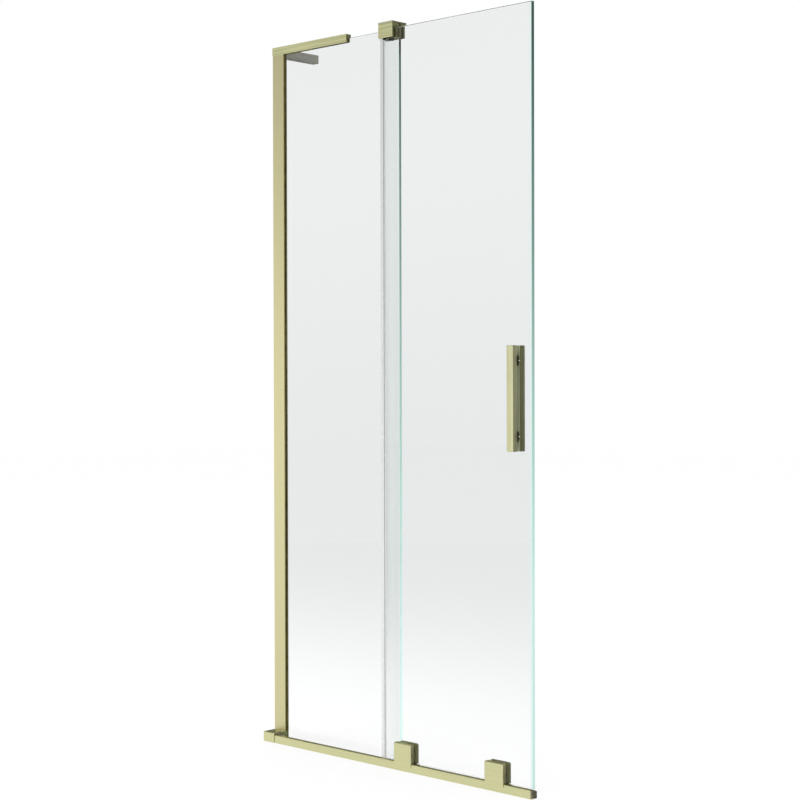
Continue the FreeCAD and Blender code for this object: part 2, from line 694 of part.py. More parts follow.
def roller_clamp(side):
    """Back plate of a roller block, behind the glass and the rail."""
    width = band(BLOCK_MIDDLES[side], BLOCK_WIDTH)
    plate = box(width, (CLAMP_FRONT, BLOCK_BACK), (BLOCK_BOTTOM, BLOCK_TOP))
    back = [e for e in plate.Edges if e.CenterOfMass.y > (CLAMP_FRONT + BLOCK_BACK) / 2]
    back += edges_along(plate, (0, 1, 0))
    back = [e for e in back if e.CenterOfMass.z > BLOCK_BOTTOM]
    plate = plate.makeFillet(min(CLAMP_EDGE, CLAMP_DEPTH - PIN_FIT), back)
    tools = []
    for x in block_screw_places(side):
        tools.append(rod_y(BLOCK_SCREW_RADIUS + PIN_FIT, x, (CLAMP_FRONT, BLOCK_BACK), BLOCK_SCREW_HEIGHT))
        sunk = (BLOCK_BACK - BLOCK_HEAD_HEIGHT, BLOCK_BACK)
        tools.append(rod_y(BLOCK_HEAD_RADIUS + PIN_FIT, x, sunk, BLOCK_SCREW_HEIGHT))
    return cut_all(plate, tools)


def roller_gaskets(side):
    """Rubber pads on both faces of the glass, inside a roller block."""
    width = band(BLOCK_MIDDLES[side], BLOCK_WIDTH - 2 * BLOCK_EDGE)
    height = (PANE_BOTTOM, BLOCK_TOP - BLOCK_EDGE)
    pads = []
    for depth in ((HOUSING_BACK, SLIDE_FRONT), (SLIDE_BACK, CLAMP_FRONT)):
        pad = box(width, depth, height)
        holes = [rod_y(BLOCK_HOLE_RADIUS, x, depth, BLOCK_SCREW_HEIGHT) for x in block_screw_places(side)]
        pads.append(cut_all(pad, holes))
    return Part.makeCompound(pads)


def roller_screws(side):
    """Screws from the back plate through the glass into the front housing."""
    screws = []
    seat = BLOCK_BACK - BLOCK_HEAD_HEIGHT
    for x in block_screw_places(side):
        shank = rod_y(BLOCK_SCREW_RADIUS, x, (HOUSING_BACK - BLOCK_SCREW_BITE, seat), BLOCK_SCREW_HEIGHT)
        head = rod_y(BLOCK_HEAD_RADIUS, x, (seat, BLOCK_BACK), BLOCK_SCREW_HEIGHT)
        screws.append(fuse_all([shank, head]))
    return Part.makeCompound(screws)


def axle_span():
    """Y range of a roller axle, seated in both walls of its housing."""
    half = ROLLER_WIDTH / 2 + ROLLER_SIDE_GAP + AXLE_SEAT
    return (ROLLER_MIDDLE - half, ROLLER_MIDDLE + half)


def roller_axle(side):
    return rod_y(AXLE_RADIUS, BLOCK_MIDDLES[side], axle_span(), AXLE_HEIGHT)


def roller_tyre(side):
    """Hard plastic tread with crowned edges."""
    width = band(ROLLER_MIDDLE, ROLLER_WIDTH)
    tread = rod_y(ROLLER_RADIUS, BLOCK_MIDDLES[side], width, AXLE_HEIGHT)
    rims = [e for e in tread.Edges if len(e.Vertexes) == 1]
    tread = tread.makeFillet(ROLLER_CROWN, rims)
    return tread.cut(rod_y(BEARING_RADIUS, BLOCK_MIDDLES[side], width, AXLE_HEIGHT))


def roller_bearing(side):
    """Bearing pressed into the tread, running on the axle."""
    width = band(ROLLER_MIDDLE, ROLLER_WIDTH)
    ring = rod_y(BEARING_RADIUS, BLOCK_MIDDLES[side], width, AXLE_HEIGHT)
    return ring.cut(rod_y(AXLE_RADIUS + PIN_FIT, BLOCK_MIDDLES[side], width, AXLE_HEIGHT))


# Handle


def handle_bar(y, holes):
    """Square bar of the handle with rounded edges and bolt holes."""
    bar = soft_box(
        band(HANDLE_MIDDLE, HANDLE_WIDTH), y, band(HANDLE_HEIGHT, HANDLE_LENGTH), HANDLE_EDGE
    )
    return cut_all(bar, holes)


def outer_bar_back():
    """Y of the outer bar's face that stands off the glass."""
    return SLIDE_FRONT - ROSETTE_THICKNESS


def handle_outer():
    back = outer_bar_back()
    bite = (back - BOLT_BITE, back)
    holes = [rod_y(BOLT_RADIUS + PIN_FIT, HANDLE_MIDDLE, bite, z) for z in handle_bolt_heights()]
    return handle_bar((back - OUTER_DEPTH, back), holes)


def handle_inner():
    span = (SLIDE_BACK + GASKET, SLIDE_BACK + GASKET + INNER_DEPTH)
    sunk = (span[1] - BOLT_HEAD_HEIGHT - BOLT_HEAD_SINK, span[1])
    holes = []
    for z in handle_bolt_heights():
        holes.append(rod_y(BOLT_RADIUS + PIN_FIT, HANDLE_MIDDLE, span, z))
        holes.append(rod_y(BOLT_HEAD_RADIUS + PIN_FIT, HANDLE_MIDDLE, sunk, z))
    return handle_bar(span, holes)


def handle_rosettes():
    """Round feet between the outer bar and the glass."""
    feet = []
    span = (outer_bar_back(), SLIDE_FRONT)
    for z in handle_bolt_heights():
        disc = rod_y(ROSETTE_RADIUS, HANDLE_MIDDLE, span, z)
        disc = disc.makeFillet(ROSETTE_EDGE, [e for e in disc.Edges if len(e.Vertexes) == 1])
        bolt = rod_y(BOLT_RADIUS + PIN_FIT, HANDLE_MIDDLE, span, z)
        feet.append(cut_all(disc, [bolt, foot_screw(FOOT_SCREW_RADIUS + PIN_FIT, z)]))
    return Part.makeCompound(feet)


def foot_screw(radius, z):
    """Small screw in the side of a handle foot, set in from the free end's side."""
    rim = HANDLE_MIDDLE + ROSETTE_RADIUS
    y = (outer_bar_back() + SLIDE_FRONT) / 2
    return rod_x(radius, (rim - FOOT_SCREW_LENGTH, rim + FOOT_SCREW_PROUD), y, z)


def handle_foot_screws():
    """Domed screws that fix the outer bar's feet."""
    screws = []
    for z in handle_bolt_heights():
        screw = foot_screw(FOOT_SCREW_RADIUS, z)
        rim = max(screw.Edges, key=lambda edge: edge.BoundBox.XMin)
        screws.append(screw.makeFillet(FOOT_SCREW_PROUD, [rim]))
    return Part.makeCompound(screws)


def handle_sleeves():
    """Plastic sleeves that keep the bolts off the glass."""
    sleeves = []
    for z in handle_bolt_heights():
        tube = rod_y(SLEEVE_RADIUS - PIN_FIT, HANDLE_MIDDLE, (SLIDE_FRONT, SLIDE_BACK), z)
        sleeves.append(tube.cut(rod_y(BOLT_RADIUS + PIN_FIT, HANDLE_MIDDLE, (SLIDE_FRONT, SLIDE_BACK), z)))
    return Part.makeCompound(sleeves)


def handle_pads():
    """Rubber washers between the inner bar and the glass."""
    pads = []
    span = (SLIDE_BACK, SLIDE_BACK + GASKET)
    for z in handle_bolt_heights():
        washer = rod_y(SLEEVE_RADIUS, HANDLE_MIDDLE, span, z)
        pads.append(washer.cut(rod_y(BOLT_RADIUS + PIN_FIT, HANDLE_MIDDLE, span, z)))
    return Part.makeCompound(pads)


def handle_bolts():
    """Bolts through the inner bar and the glass into the outer bar."""
    bolts = []
    head_back = SLIDE_BACK + GASKET + INNER_DEPTH - BOLT_HEAD_SINK
    head_front = head_back - BOLT_HEAD_HEIGHT
    for z in handle_bolt_heights():
        shank = rod_y(BOLT_RADIUS, HANDLE_MIDDLE, (outer_bar_back() - BOLT_BITE, head_front), z)
        head = rod_y(BOLT_HEAD_RADIUS, HANDLE_MIDDLE, (head_front, head_back), z)
        bolts.append(fuse_all([shank, head]))
    return Part.makeCompound(bolts)


def all_nodes():
    """Every piece of the screen by the name of its node."""
    nodes = {
        "rail": rail(),
        "rail_end_block": rail_end_block(),
        "rail_end_cap": rail_end_cap(),
        "rail_gasket": rail_gasket(),
        "rail_buffer": rail_buffer(),
        "rail_grub_screws": rail_grub_screws(),
        "wall_channel": wall_channel(),
        "glass_profile": glass_profile(),
        "profile_screws": profile_screws(),
        "glazing_gasket_front": glazing_gasket((POCKET_FRONT, FIXED_FRONT)),
        "glazing_gasket_back": glazing_gasket((FIXED_BACK, POCKET_BACK)),
        "fixed_pane": fixed_pane(),
        "fixed_pane_seal": fixed_pane_seal(),
        "brace_bar": brace_bar(),
        "brace_leg": brace_leg(),
        "brace_dowel": brace_dowel(),
        "brace_gasket": brace_gasket(),
        "brace_set_screws": brace_set_screws(),
        "guide_block": guide_block(),
        "guide_liner": guide_liner(),
        "guide_clamp": guide_clamp(),
        "guide_cap": guide_cap(),
        "guide_screws": guide_screws(),
        "guide_pads": guide_pads(),
        "guide_bumper": guide_bumper(),
        "sliding_pane": sliding_pane(),
        "pane_seal": pane_seal(),
        "pane_stop": pane_stop(),
        "handle_outer": handle_outer(),
        "handle_inner": handle_inner(),
        "handle_rosettes": handle_rosettes(),
        "handle_foot_screws": handle_foot_screws(),
        "handle_sleeves": handle_sleeves(),
        "handle_pads": handle_pads(),
        "handle_bolts": handle_bolts(),
    }
    for side in BLOCK_MIDDLES:
        nodes["roller_block_" + side] = roller_block(side)
        nodes["roller_clamp_" + side] = roller_clamp(side)
        nodes["roller_gaskets_" + side] = roller_gaskets(side)
        nodes["roller_screws_" + side] = roller_screws(side)
        nodes["roller_axle_" + side] = roller_axle(side)
        nodes["roller_tyre_" + side] = roller_tyre(side)
        nodes["roller_bearing_" + side] = roller_bearing(side)
    return nodes


def travel():
    """How far the sliding pane moves towards the wall before its seal meets the buffer."""
    return SLIDE_LEFT - SEAL_NOSE - (PROFILE_SIDE + BUFFER_THICKNESS) - STOP_GAP


os.makedirs("parts", exist_ok=True)
for name, shape in all_nodes().items():
    shape.exportStep("parts/" + name + ".step")
    print(name, len(shape.Solids), "valid" if shape.isValid() else "INVALID", round(shape.Volume, 1))
print("travel", round(travel(), 3))
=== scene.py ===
import math

import bmesh
import bpy
from bmesh.types import BMEdge, BMFace, BMVert
from bpy.props import FloatProperty, FloatVectorProperty, IntProperty, PointerProperty
from mathutils import Matrix, Vector


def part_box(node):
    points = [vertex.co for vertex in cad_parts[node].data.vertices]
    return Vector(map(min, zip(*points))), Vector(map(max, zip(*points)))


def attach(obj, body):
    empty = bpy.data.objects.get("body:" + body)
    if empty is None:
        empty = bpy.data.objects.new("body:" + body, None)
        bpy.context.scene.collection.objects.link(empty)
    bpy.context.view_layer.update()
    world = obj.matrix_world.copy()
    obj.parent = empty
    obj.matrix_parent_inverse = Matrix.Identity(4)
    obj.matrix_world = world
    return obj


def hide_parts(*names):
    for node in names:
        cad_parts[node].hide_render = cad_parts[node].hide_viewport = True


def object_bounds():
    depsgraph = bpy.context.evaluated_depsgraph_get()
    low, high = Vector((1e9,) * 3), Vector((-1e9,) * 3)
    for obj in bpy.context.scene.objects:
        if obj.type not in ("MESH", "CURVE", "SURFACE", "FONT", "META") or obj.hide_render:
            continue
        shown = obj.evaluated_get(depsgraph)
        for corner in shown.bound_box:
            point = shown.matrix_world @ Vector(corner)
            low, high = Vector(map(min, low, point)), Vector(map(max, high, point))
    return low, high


bl_info = {
    "name": "Sliding Bath Screen",
    "version": (1, 0, 0),
    "blender": (4, 5, 0),
    "location": "3D View > Sidebar > Bath Screen",
    "description": "Dresses a glass bath screen with brushed gold, clear glass, seals and fasteners",
    "category": "Object",
}

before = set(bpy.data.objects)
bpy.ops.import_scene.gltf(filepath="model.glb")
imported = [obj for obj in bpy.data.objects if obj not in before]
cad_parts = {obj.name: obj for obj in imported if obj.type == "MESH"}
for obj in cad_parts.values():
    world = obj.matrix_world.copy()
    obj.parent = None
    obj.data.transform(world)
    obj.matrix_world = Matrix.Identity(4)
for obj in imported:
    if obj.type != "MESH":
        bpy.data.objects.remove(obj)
CAD_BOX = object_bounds()
GLASS_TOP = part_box("sliding_pane")[1].z
SIDES = ("left", "right")
UP = Vector((0, 0, 1))
INTO_BATH = Vector((0, 1, 0))
ALONG_RAIL = Vector((1, 0, 0))
WHITE = (1, 1, 1)
TOUCHING = 1e-6
CREASE = math.radians(35)

# CAD nodes by finish; the wall profile and the rail's buffer keep the frame's own materials
STREAKED = ("brace_bar", "guide_block", "guide_clamp")
SOFTLY_BRUSHED = (
    "rail", "rail_end_block", "roller_block_left", "roller_block_right", "roller_clamp_left",
    "roller_clamp_right",
)
GRAINED_NODES = {
    "dark_rubber": (
        "rail_gasket", "glazing_gasket_front", "glazing_gasket_back", "brace_gasket", "guide_pads",
        "handle_pads"),
    # Roller blocks' gaskets lightened with painted light
    "pale_gasket": ("roller_gaskets_left", "roller_gaskets_right"),
    "dark_nylon": ("handle_sleeves",),
    "liner_nylon": ("guide_liner",),
    "plain_steel": ("brace_dowel", "roller_axle_left", "roller_axle_right"),
    # Handle feet's screws paled for a painted glint
    "pale_steel": ("handle_foot_screws",),
    "mill_aluminium": ("wall_channel",),
}

# Values of each grained finish, with grain sizes and depths in metres
GRAINS = {
    "dark_rubber": {"variation": 0.25, "roughness": 0.6, "grain_size": 0.0009, "shine": 0.1},
    # Gasket lightened with painted light
    "pale_gasket": {"variation": 0.1, "roughness": 0.55, "grain_size": 0.0009, "shine": 0.2},
    "liner_nylon": {"variation": 0.15, "roughness": 0.5, "grain_size": 0.0006, "shine": 0.2},
    "foot_nylon": {"variation": 0.2, "roughness": 0.4, "grain_size": 0.0006, "shine": 0.2},
    "dark_nylon": {"variation": 0.12, "roughness": 0.42, "grain_size": 0.0006},
    # Pale and not metal, for a painted glint
    "pale_steel": {"variation": 0.05, "roughness": 0.4, "grain_size": 0.0005, "depth": 0.00001},
    "plain_steel": {
        "variation": 0.1, "roughness": 0.28, "grain_size": 0.0005, "depth": 0.00001, "metallic": 1.0},
    "mill_aluminium": {
        "variation": 0.08, "roughness": 0.4, "grain_size": 0.0012, "depth": 0.00001, "metallic": 1.0},
}
GRAIN_ROUGHNESS_CHANGE = 0.08
GRAIN_STRENGTH = 0.5

# Noise: the range that it mostly keeps to, fine brush marks to a broad one, the rest to a metre
NOISE_RANGE = (0.3, 0.7)
FINE_MARKS = 7.0
SMUDGES = 9.0
MOTTLE = 420.0
PATCHES = 60.0

# Brushed metal, and the brace's leg, greyer as painted shade; relief is a depth in metres and a strength
BRUSH_RELIEF = (0.00002, 0.35)
BRUSH_ROUGHNESS_CHANGE = 0.05
LEG_ROUGHNESS = 0.45
LEG_SHADE = 0.9
LEG_METAL = 0.6

# Ground edges of the glass, with roughness from smooth to rough
EDGE_RELIEF = (0.00005, 0.3)
EDGE_ROUGHNESS = (0.25, 0.45)
EDGE_SHINE = 0.1
RIM_ROUGHNESS = (0.45, 0.6)
RIM_SHADE = 0.96

# Clear plastic: how much light passes, and how much of the edge seal's painted dark core is fully dark
PLASTIC_ROUGHNESS = (0.18, 0.34)
PLASTIC_REFRACTION = 1.45
EDGE_CLARITY = 0.25
SEAL_CLARITY = 0.3
STOP_CLARITY = 0.05
CORE_SOLID = 0.6

# Deepest socket as a share of its head's height, and its sides
SOCKET_LIMIT = 0.8
SOCKET_SIDES = 6

# Steps of the roundings, and the angle from which a pane's edge is a corner
NOSE_STEPS = 5
LIP_STEPS = 2
HEAD_STEPS = 3
CORNER = 0.5

# Shares of the glass height, from the foot up, where its tint and its edges' colour, both with painted
# shade, change
TINT_AND_SHADE_PLACES = (0.03, 0.285, 0.4, 0.9)
EDGE_SHADE_PLACES = (0.25, 0.365, 0.7, 0.96)

# How far a face's normal leans along an axis where the face counts as half, part or fully turned to it
HALF_TURNED = 0.5
PART_TURNED = 0.6
FULLY_TURNED = 0.9

SENSOR_WIDTH = 36.0
FLOOR_PAPER = (0.97, 0.97, 0.97)
LAMPS = {"lamp_front": Vector((-2.6, -3.4, 2.6)), "lamp_right": Vector((3.6, -1.2, 3.0))}

# Cards that only reflections see: distance and size in metres, and glow at heights from the floor up
CARD_REACH = 3.2
CARD_WIDTH = 16.0
CARD_HEIGHT = 8.0
DARK_GLOW = (0.12, 0.12, 0.12)
HANDLE_GLOW = (0.5, 0.5, 0.5)
CARD_GLOWS = {
    "shade_back": [(0.0, DARK_GLOW), (CARD_HEIGHT, DARK_GLOW)],
    "shade_front": [(0.4, (1.27, 1.27, 1.27)), (3.0, (0.47, 0.47, 0.47))],
    "shade_side": [(0.3, DARK_GLOW), (0.6, HANDLE_GLOW), (0.9, HANDLE_GLOW), (1.9, (0.055, 0.055, 0.022))],
}


# Settings

SHARE = {"subtype": "FACTOR", "min": 0.0, "max": 1.0}


def length_setting(name, description, default):
    """Setting for a size or a place, in metres."""
    return FloatProperty(name=name, description=description, unit="LENGTH", default=default)


def colour_setting(name, description, default):
    """Setting for a colour in linear light."""
    return FloatVectorProperty(
        name=name, description=description, subtype="COLOR", size=3, min=0.0, max=1.0, default=default)


class StageSettings(bpy.types.PropertyGroup):
    """Camera, floor and light."""

    camera_place: FloatVectorProperty(
        name="Camera place", description="Where the camera stands", size=3, subtype="TRANSLATION",
        unit="LENGTH", default=(2.37697, -2.47296, 0.80298))
    camera_yaw: FloatProperty(
        name="Camera yaw", description="Turn of the camera about the upright", subtype="ANGLE",
        default=math.radians(43.51))
    camera_pitch: FloatProperty(
        name="Camera pitch", description="How far the camera looks down", subtype="ANGLE",
        default=math.radians(0.659))
    camera_roll: FloatProperty(
        name="Camera roll", description="Tilt of the camera about its view", subtype="ANGLE",
        default=math.radians(-0.132))
    lens: FloatProperty(name="Lens", description="Focal length", unit="CAMERA", default=76.03)
    rise: FloatProperty(
        name="Rise", description="Upward shift of the picture, as a share of its width", default=-0.0099)
    floor_size: length_setting("Floor size", "Side of the pale floor", 24.0)
    floor_gap: length_setting("Floor gap", "Floor below the rail's underside", 0.0004)
    floor_glow: FloatProperty(
        name="Floor glow", description="Share of the floor's white that takes no shadow", default=0.8,
        **SHARE)
    plain_light: FloatProperty(
        name="Plain light", description="Level of the even light from all round", default=1.0)
    lamp_power: FloatProperty(
        name="Lamp power", description="Power of each soft lamp", unit="POWER", default=45.0)
    lamp_size: length_setting("Lamp size", "Side of each soft lamp", 3.0)


class GoldSettings(bpy.types.PropertyGroup):
    """Brushed gold finish."""

    light: colour_setting("Light gold", "Colour between the brush marks", (0.785, 0.78, 0.45))
    dark: colour_setting("Dark gold", "Colour in the brush marks", (0.595, 0.585, 0.32))
    streaks: FloatProperty(
        name="Streaks", description="Contrast of the brush marks on the brace and guide", min=0.0,
        default=2.0)
    soft_streaks: FloatProperty(
        name="Soft streaks", description="Contrast of the brush marks on the rail and roller blocks",
        min=0.0, default=0.2)
    mark_width: length_setting("Mark width", "Width of the broad brush marks", 0.004)
    mark_length: length_setting("Mark length", "Length of the broad brush marks", 0.25)
    roughness: FloatProperty(
        name="Roughness", description="Middle roughness of the brushed metal", default=0.42, **SHARE)
    anisotropy: FloatProperty(
        name="Anisotropy", description="Spread of the reflections across the brush marks", default=0.82,
        **SHARE)
    # Painted shade: darkens and greys the gold of the rail's end cap
    end_shade: FloatVectorProperty(
        name="End tone", description="Factor on the gold of the rail's end cap", size=3,
        default=(0.62, 0.57, 0.68))
    handle_tone: FloatVectorProperty(
        name="Handle tone", description="Factor on the gold of the outer handle", size=3,
        default=(0.89, 0.895, 0.96))
    cap_tone: FloatVectorProperty(
        name="Cap tone", description="Factor on the gold of the guide's cap", size=3,
        default=(0.84, 0.85, 1.08))
    # Painted light on the inner handle's face towards the glass
    inner_face_light: FloatVectorProperty(
        name="Inner face tone", description="Factor on the inner handle's face towards the glass", size=3,
        default=(1.35, 1.35, 1.6))
    # Painted shade on the inner handle's upright sides
    inner_side_shade: FloatVectorProperty(
        name="Inner side tone", description="Factor on the inner handle's upright sides", size=3,
        default=(0.55, 0.55, 0.5))
    # Painted shade: the leg's grey stands in for the gold's shaded side
    leg: colour_setting("Leg", "Colour of the brace's leg", (0.5, 0.5, 0.43))


class GlassSettings(bpy.types.PropertyGroup):
    """Panes of the screen."""

    arris: length_setting("Arris", "Width of the ground edge", 0.0005)
    hole_segments: IntProperty(
        name="Hole segments", description="Sides of a drilled hole", min=12, default=32)
    screw_hole: length_setting("Screw hole", "Radius of the holes under the roller blocks", 0.005)
    bolt_hole: length_setting("Bolt hole", "Radius of the holes under the handle", 0.006)
    refraction: FloatProperty(name="Refraction", description="Refractive index of the glass", default=1.5)
    # Tint with painted shade: the glass greyer higher up and clear at its foot
    tint_and_shade_top: colour_setting(
        "Upper tint", "Colour of the light through the upper glass", (0.856, 0.872, 0.872))
    tint_and_shade_middle: colour_setting(
        "Middle tint", "Colour of the light through the middle of the glass", (0.784, 0.808, 0.803))
    tint_and_shade_foot: colour_setting(
        "Lower tint", "Colour of the light through the foot of the glass", (0.995, 1.0, 1.0))
    gloss: colour_setting("Gloss", "Strength of the reflections on the faces", (0.35, 0.35, 0.35))
    # Painted light: a mint glow beside each pane's free edge, and painted light and shade where the sliding
    # pane covers the fixed one
    painted_glow_width: length_setting("Glow width", "Reach of the mint tint beside a pane's free edge", 0.01)
    overlap_width: length_setting("Overlap width", "Reach of the change of tint at the overlap", 0.02)
    overlap_light_and_shade: colour_setting(
        "Fixed glow", "Colour of the fixed pane where the sliding pane covers it", (0.877, 0.905, 0.896))
    fixed_painted_glow: colour_setting("Fixed mint", "Colour of the fixed pane at its free edge", (0.93, 1.0, 0.97))
    sliding_painted_glow: colour_setting(
        "Sliding glow", "Colour of the sliding pane at its free edge", (0.72, 0.9, 0.86))
    rim_colour: colour_setting(
        "Rim colour", "Colour of the light through the upper and lower edges", (0.95, 0.98, 0.97))
    # Painted glow: emission on the panes' upper edges
    top_painted_glow: FloatProperty(
        name="Top glow", description="Light that the panes carry to their upper edges", default=0.12)
    foot_cover: FloatProperty(
        name="Foot cover", description="How far the ground lower edges hide what is behind them",
        default=0.15, **SHARE)
    # Painted light on the fixed pane's edge: a lift in its colour and a glow
    fixed_edge_painted_lift: FloatProperty(
        name="Fixed edge lift", description="Fixed pane's edge against the sliding pane's", default=1.35)
    fixed_edge_painted_glow: FloatProperty(
        name="Fixed edge glow", description="Light that the fixed pane carries to its edge", default=0.3)
    # Ground edge colours, green with painted shade: deep teal at the top, lightening to mint at the foot
    edge_green_and_shade_top: colour_setting("Upper edge", "Colour of the ground edge near the top", (0.042, 0.085, 0.072))
    edge_green_and_shade_upper: colour_setting(
        "Edge higher up", "Colour of the ground edge three quarters up", (0.152, 0.25, 0.22))
    edge_green_and_shade_middle: colour_setting("Middle edge", "Colour of the ground edge a third up", (0.40, 0.61, 0.55))
    edge_green_and_shade_foot: colour_setting("Lower edge", "Colour of the ground edge near the foot", (0.50, 0.68, 0.645))
    edge_shadow: colour_setting(
        "Shaded edge", "Colour of the fixed pane's edge under the guide", (0.02, 0.026, 0.023))
    shadow_drop: length_setting("Shadow drop", "Reach of the guide's shade down that edge", 0.019)


class SoftSettings(bpy.types.PropertyGroup):
    """Seals, and the colours of rubber, nylon and plain metal."""

    # Painted shade: the clear seals darker near the top and lighter near the foot
    seal_shaded_top: colour_setting(
        "Seal colour", "Colour of the clear seals near the top", (0.57, 0.595, 0.585))
    seal_lit_foot: colour_setting("Seal foot", "Colour of the clear seals near the foot", (0.87, 0.885, 0.88))
    # Painted shade: a dark core along the edge seal
    core_place: length_setting("Core place", "Dark core of the edge seal from its lip", 0.0034)
    core_width: length_setting("Core width", "Half width of the edge seal's dark core", 0.0017)
    core_shade: FloatProperty(
        name="Core shade", description="Colour of the dark core against the seal's", default=0.5, **SHARE)
    seal_gap: length_setting("Seal gap", "Air between the edge seal and the glass", 0.0001)
    seal_round: length_setting("Seal rounding", "Rounding of the seal's nose", 0.0011)
    lip_round: length_setting("Lip rounding", "Rounding of the seal's lips", 0.0004)
    back_grip: length_setting("Back grip", "Reach of the seal over the back of the glass", 0.005)
    dark_rubber: colour_setting("Dark rubber", "Colour of the gaskets", (0.18, 0.15, 0.04))
    # Painted light: the gaskets in the roller blocks lightened to an olive gold
    pale_gasket: colour_setting(
        "Pale gasket", "Colour of the gaskets in the roller blocks", (0.46, 0.45, 0.3))
    liner_nylon: colour_setting("Liner nylon", "Colour of the guide's liner", (0.1, 0.1, 0.035))
    foot_nylon: colour_setting(
        "Foot nylon", "Colour of the handle's feet and the bumper", (0.024, 0.022, 0.012))
    dark_nylon: colour_setting(
        "Dark nylon", "Colour of the treads and the handle's sleeves", (0.03, 0.03, 0.028))
    # Painted glint: the screws in the handle's feet a pale non-metal
    pale_steel: colour_setting("Pale steel", "Colour of the screws in the handle's feet", (0.9, 0.88, 0.76))
    plain_steel: colour_setting(
        "Plain steel", "Colour of fasteners, axles and bearings", (0.55, 0.55, 0.54))
    mill_aluminium: colour_setting("Mill aluminium", "Colour of the wall channel", (0.72, 0.73, 0.74))


class FastenerSettings(bpy.types.PropertyGroup):
    """Screws, bolts and grub screws."""

    segments: IntProperty(
        name="Segments", description="Sides of a round head, a multiple of six", min=12, default=24)
    small_head: length_setting("Small head", "Height of the guide's and profile's screw heads", 0.0016)
    roller_head: length_setting("Roller head", "Height of the roller blocks' screw heads", 0.0024)
    handle_head: length_setting("Handle head", "Height of the handle's bolt heads", 0.0034)
    socket_share: FloatProperty(
        name="Socket share", description="Hexagon socket's radius as a share of the head's",
        subtype="FACTOR", min=0.1, max=0.9, default=0.52)
    socket_depth: length_setting("Socket depth", "Depth of the hexagon socket", 0.0014)
    round_over: length_setting("Round over", "Rounding of a head's rim", 0.0005)
    shank_share: FloatProperty(
        name="Shank share", description="Shank's radius as a share of the head's", subtype="FACTOR",
        min=0.1, max=1.0, default=0.55)


class TurnedSettings(bpy.types.PropertyGroup):
    """Handle feet, bumper and rollers."""

    steps: IntProperty(name="Steps", description="Steps round a turned piece", min=16, default=48)
    foot_edge: length_setting("Foot edge", "Rounding of a handle foot's rim", 0.0007)
    bumper_edge: length_setting("Bumper edge", "Rounding of the bumper's rim", 0.0016)
    tread_crown: length_setting("Tread crown", "Fall of a tread towards its sides", 0.0005)
    axle: length_setting("Axle", "Radius of the hole through a bearing", 0.00305)
    ring_wall: length_setting("Ring wall", "Thickness of a bearing's rings", 0.001)
    shield_sink: length_setting("Shield sink", "Bearing's shield below its rings", 0.0003)


# Mesh helpers

def new_object(mesh, name, materials):
    """Turn a bmesh into an object at the origin, with its place in its mesh."""
    data = bpy.data.meshes.new(name)
    mesh.to_mesh(data)
    mesh.free()
    for material in materials:
        data.materials.append(material)
    made = bpy.data.objects.new(name, data)
    bpy.context.scene.collection.objects.link(made)
    return made


def finish_piece(mesh, name, materials, body, node, smooth=True):
    """Turn a bmesh into a piece that rides on a body and stands for a node; a smooth one has creases."""
    for face in mesh.faces:
        face.smooth = smooth
    piece = new_object(mesh, name, materials)
    if smooth:
        piece.data.set_sharp_from_angle(angle=CREASE)
    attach(piece, body)
    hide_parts(node)
    return piece


def only(kind, geometry):
    """Elements of one kind, such as vertices, among those that an operator made."""
    return [item for item in geometry if isinstance(item, kind)]


def edge_loop(verts):
    """Edges that join a ring of vertices."""
    ring = set(verts)
    edges = dict.fromkeys(edge for vert in verts for edge in vert.link_edges)
    return [edge for edge in edges if set(edge.verts) <= ring]


def extrude_rim(mesh, edges, offset):
    """Draw a rim out by an offset and return the new rim's edges."""
    made = bmesh.ops.extrude_edge_only(mesh, edges=edges)["geom"]
    rim = set(only(BMVert, made))
    bmesh.ops.translate(mesh, verts=list(rim), vec=offset)
    return [edge for edge in only(BMEdge, made) if set(edge.verts) <= rim]


def extrude_sheet(mesh, faces, offset):
    """Give faces a thickness, and point all faces outwards."""
    made = bmesh.ops.extrude_face_region(mesh, geom=faces)["geom"]
    bmesh.ops.translate(mesh, verts=only(BMVert, made), vec=offset)
    bmesh.ops.recalc_face_normals(mesh, faces=mesh.faces)


def bevel_edges(mesh, edges, width, segments):
    """Round edges, or chamfer them with one segment."""
    bmesh.ops.bevel(
        mesh, geom=edges, offset=width, offset_type="OFFSET", segments=segments, profile=0.5,
        affect="EDGES", material=-1, clamp_overlap=True)


def row_of_heads(node, axis, count=2):
    """Centres, radius and length of a row of equal round pieces along X (0) or Z (2)."""
    low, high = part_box(node)
    other = 2 - axis
    radius = (high[other] - low[other]) / 2
    first, last = low[axis] + radius, high[axis] - radius
    centres = []
    for place in range(count):
        centre = (low + high) / 2
        centre[axis] = first + (last - first) * place / (count - 1)
        centre.y = high.y
        centres.append(centre)
    return centres, radius, high.y - low.y


# Node helpers

def feed(tree, node, values):
    """Feed a node's sockets by name or number: an output is linked, and a plain value is set."""
    for place, value in values.items():
        socket = node.inputs[place]
        if isinstance(value, bpy.types.NodeSocket):
            tree.links.new(value, socket)
        elif socket.type == "RGBA":
            socket.default_value = (*value, 1)
        else:
            socket.default_value = value


def add_node(tree, kind, values=None, **choices):
    """Add a node with its choices made and its sockets fed."""
    node = tree.nodes.new(kind)
    for choice, value in choices.items():
        setattr(node, choice, value)
    feed(tree, node, values or {})
    return node


def maths(tree, operation, *values):
    """Result of a sum on numbers or sockets."""
    return add_node(tree, "ShaderNodeMath", dict(enumerate(values)), operation=operation).outputs["Value"]


def multiply(tree, first, second):
    """Product of two colours or vectors."""
    return add_node(tree, "ShaderNodeVectorMath", {0: first, 1: second}, operation="MULTIPLY").outputs[0]


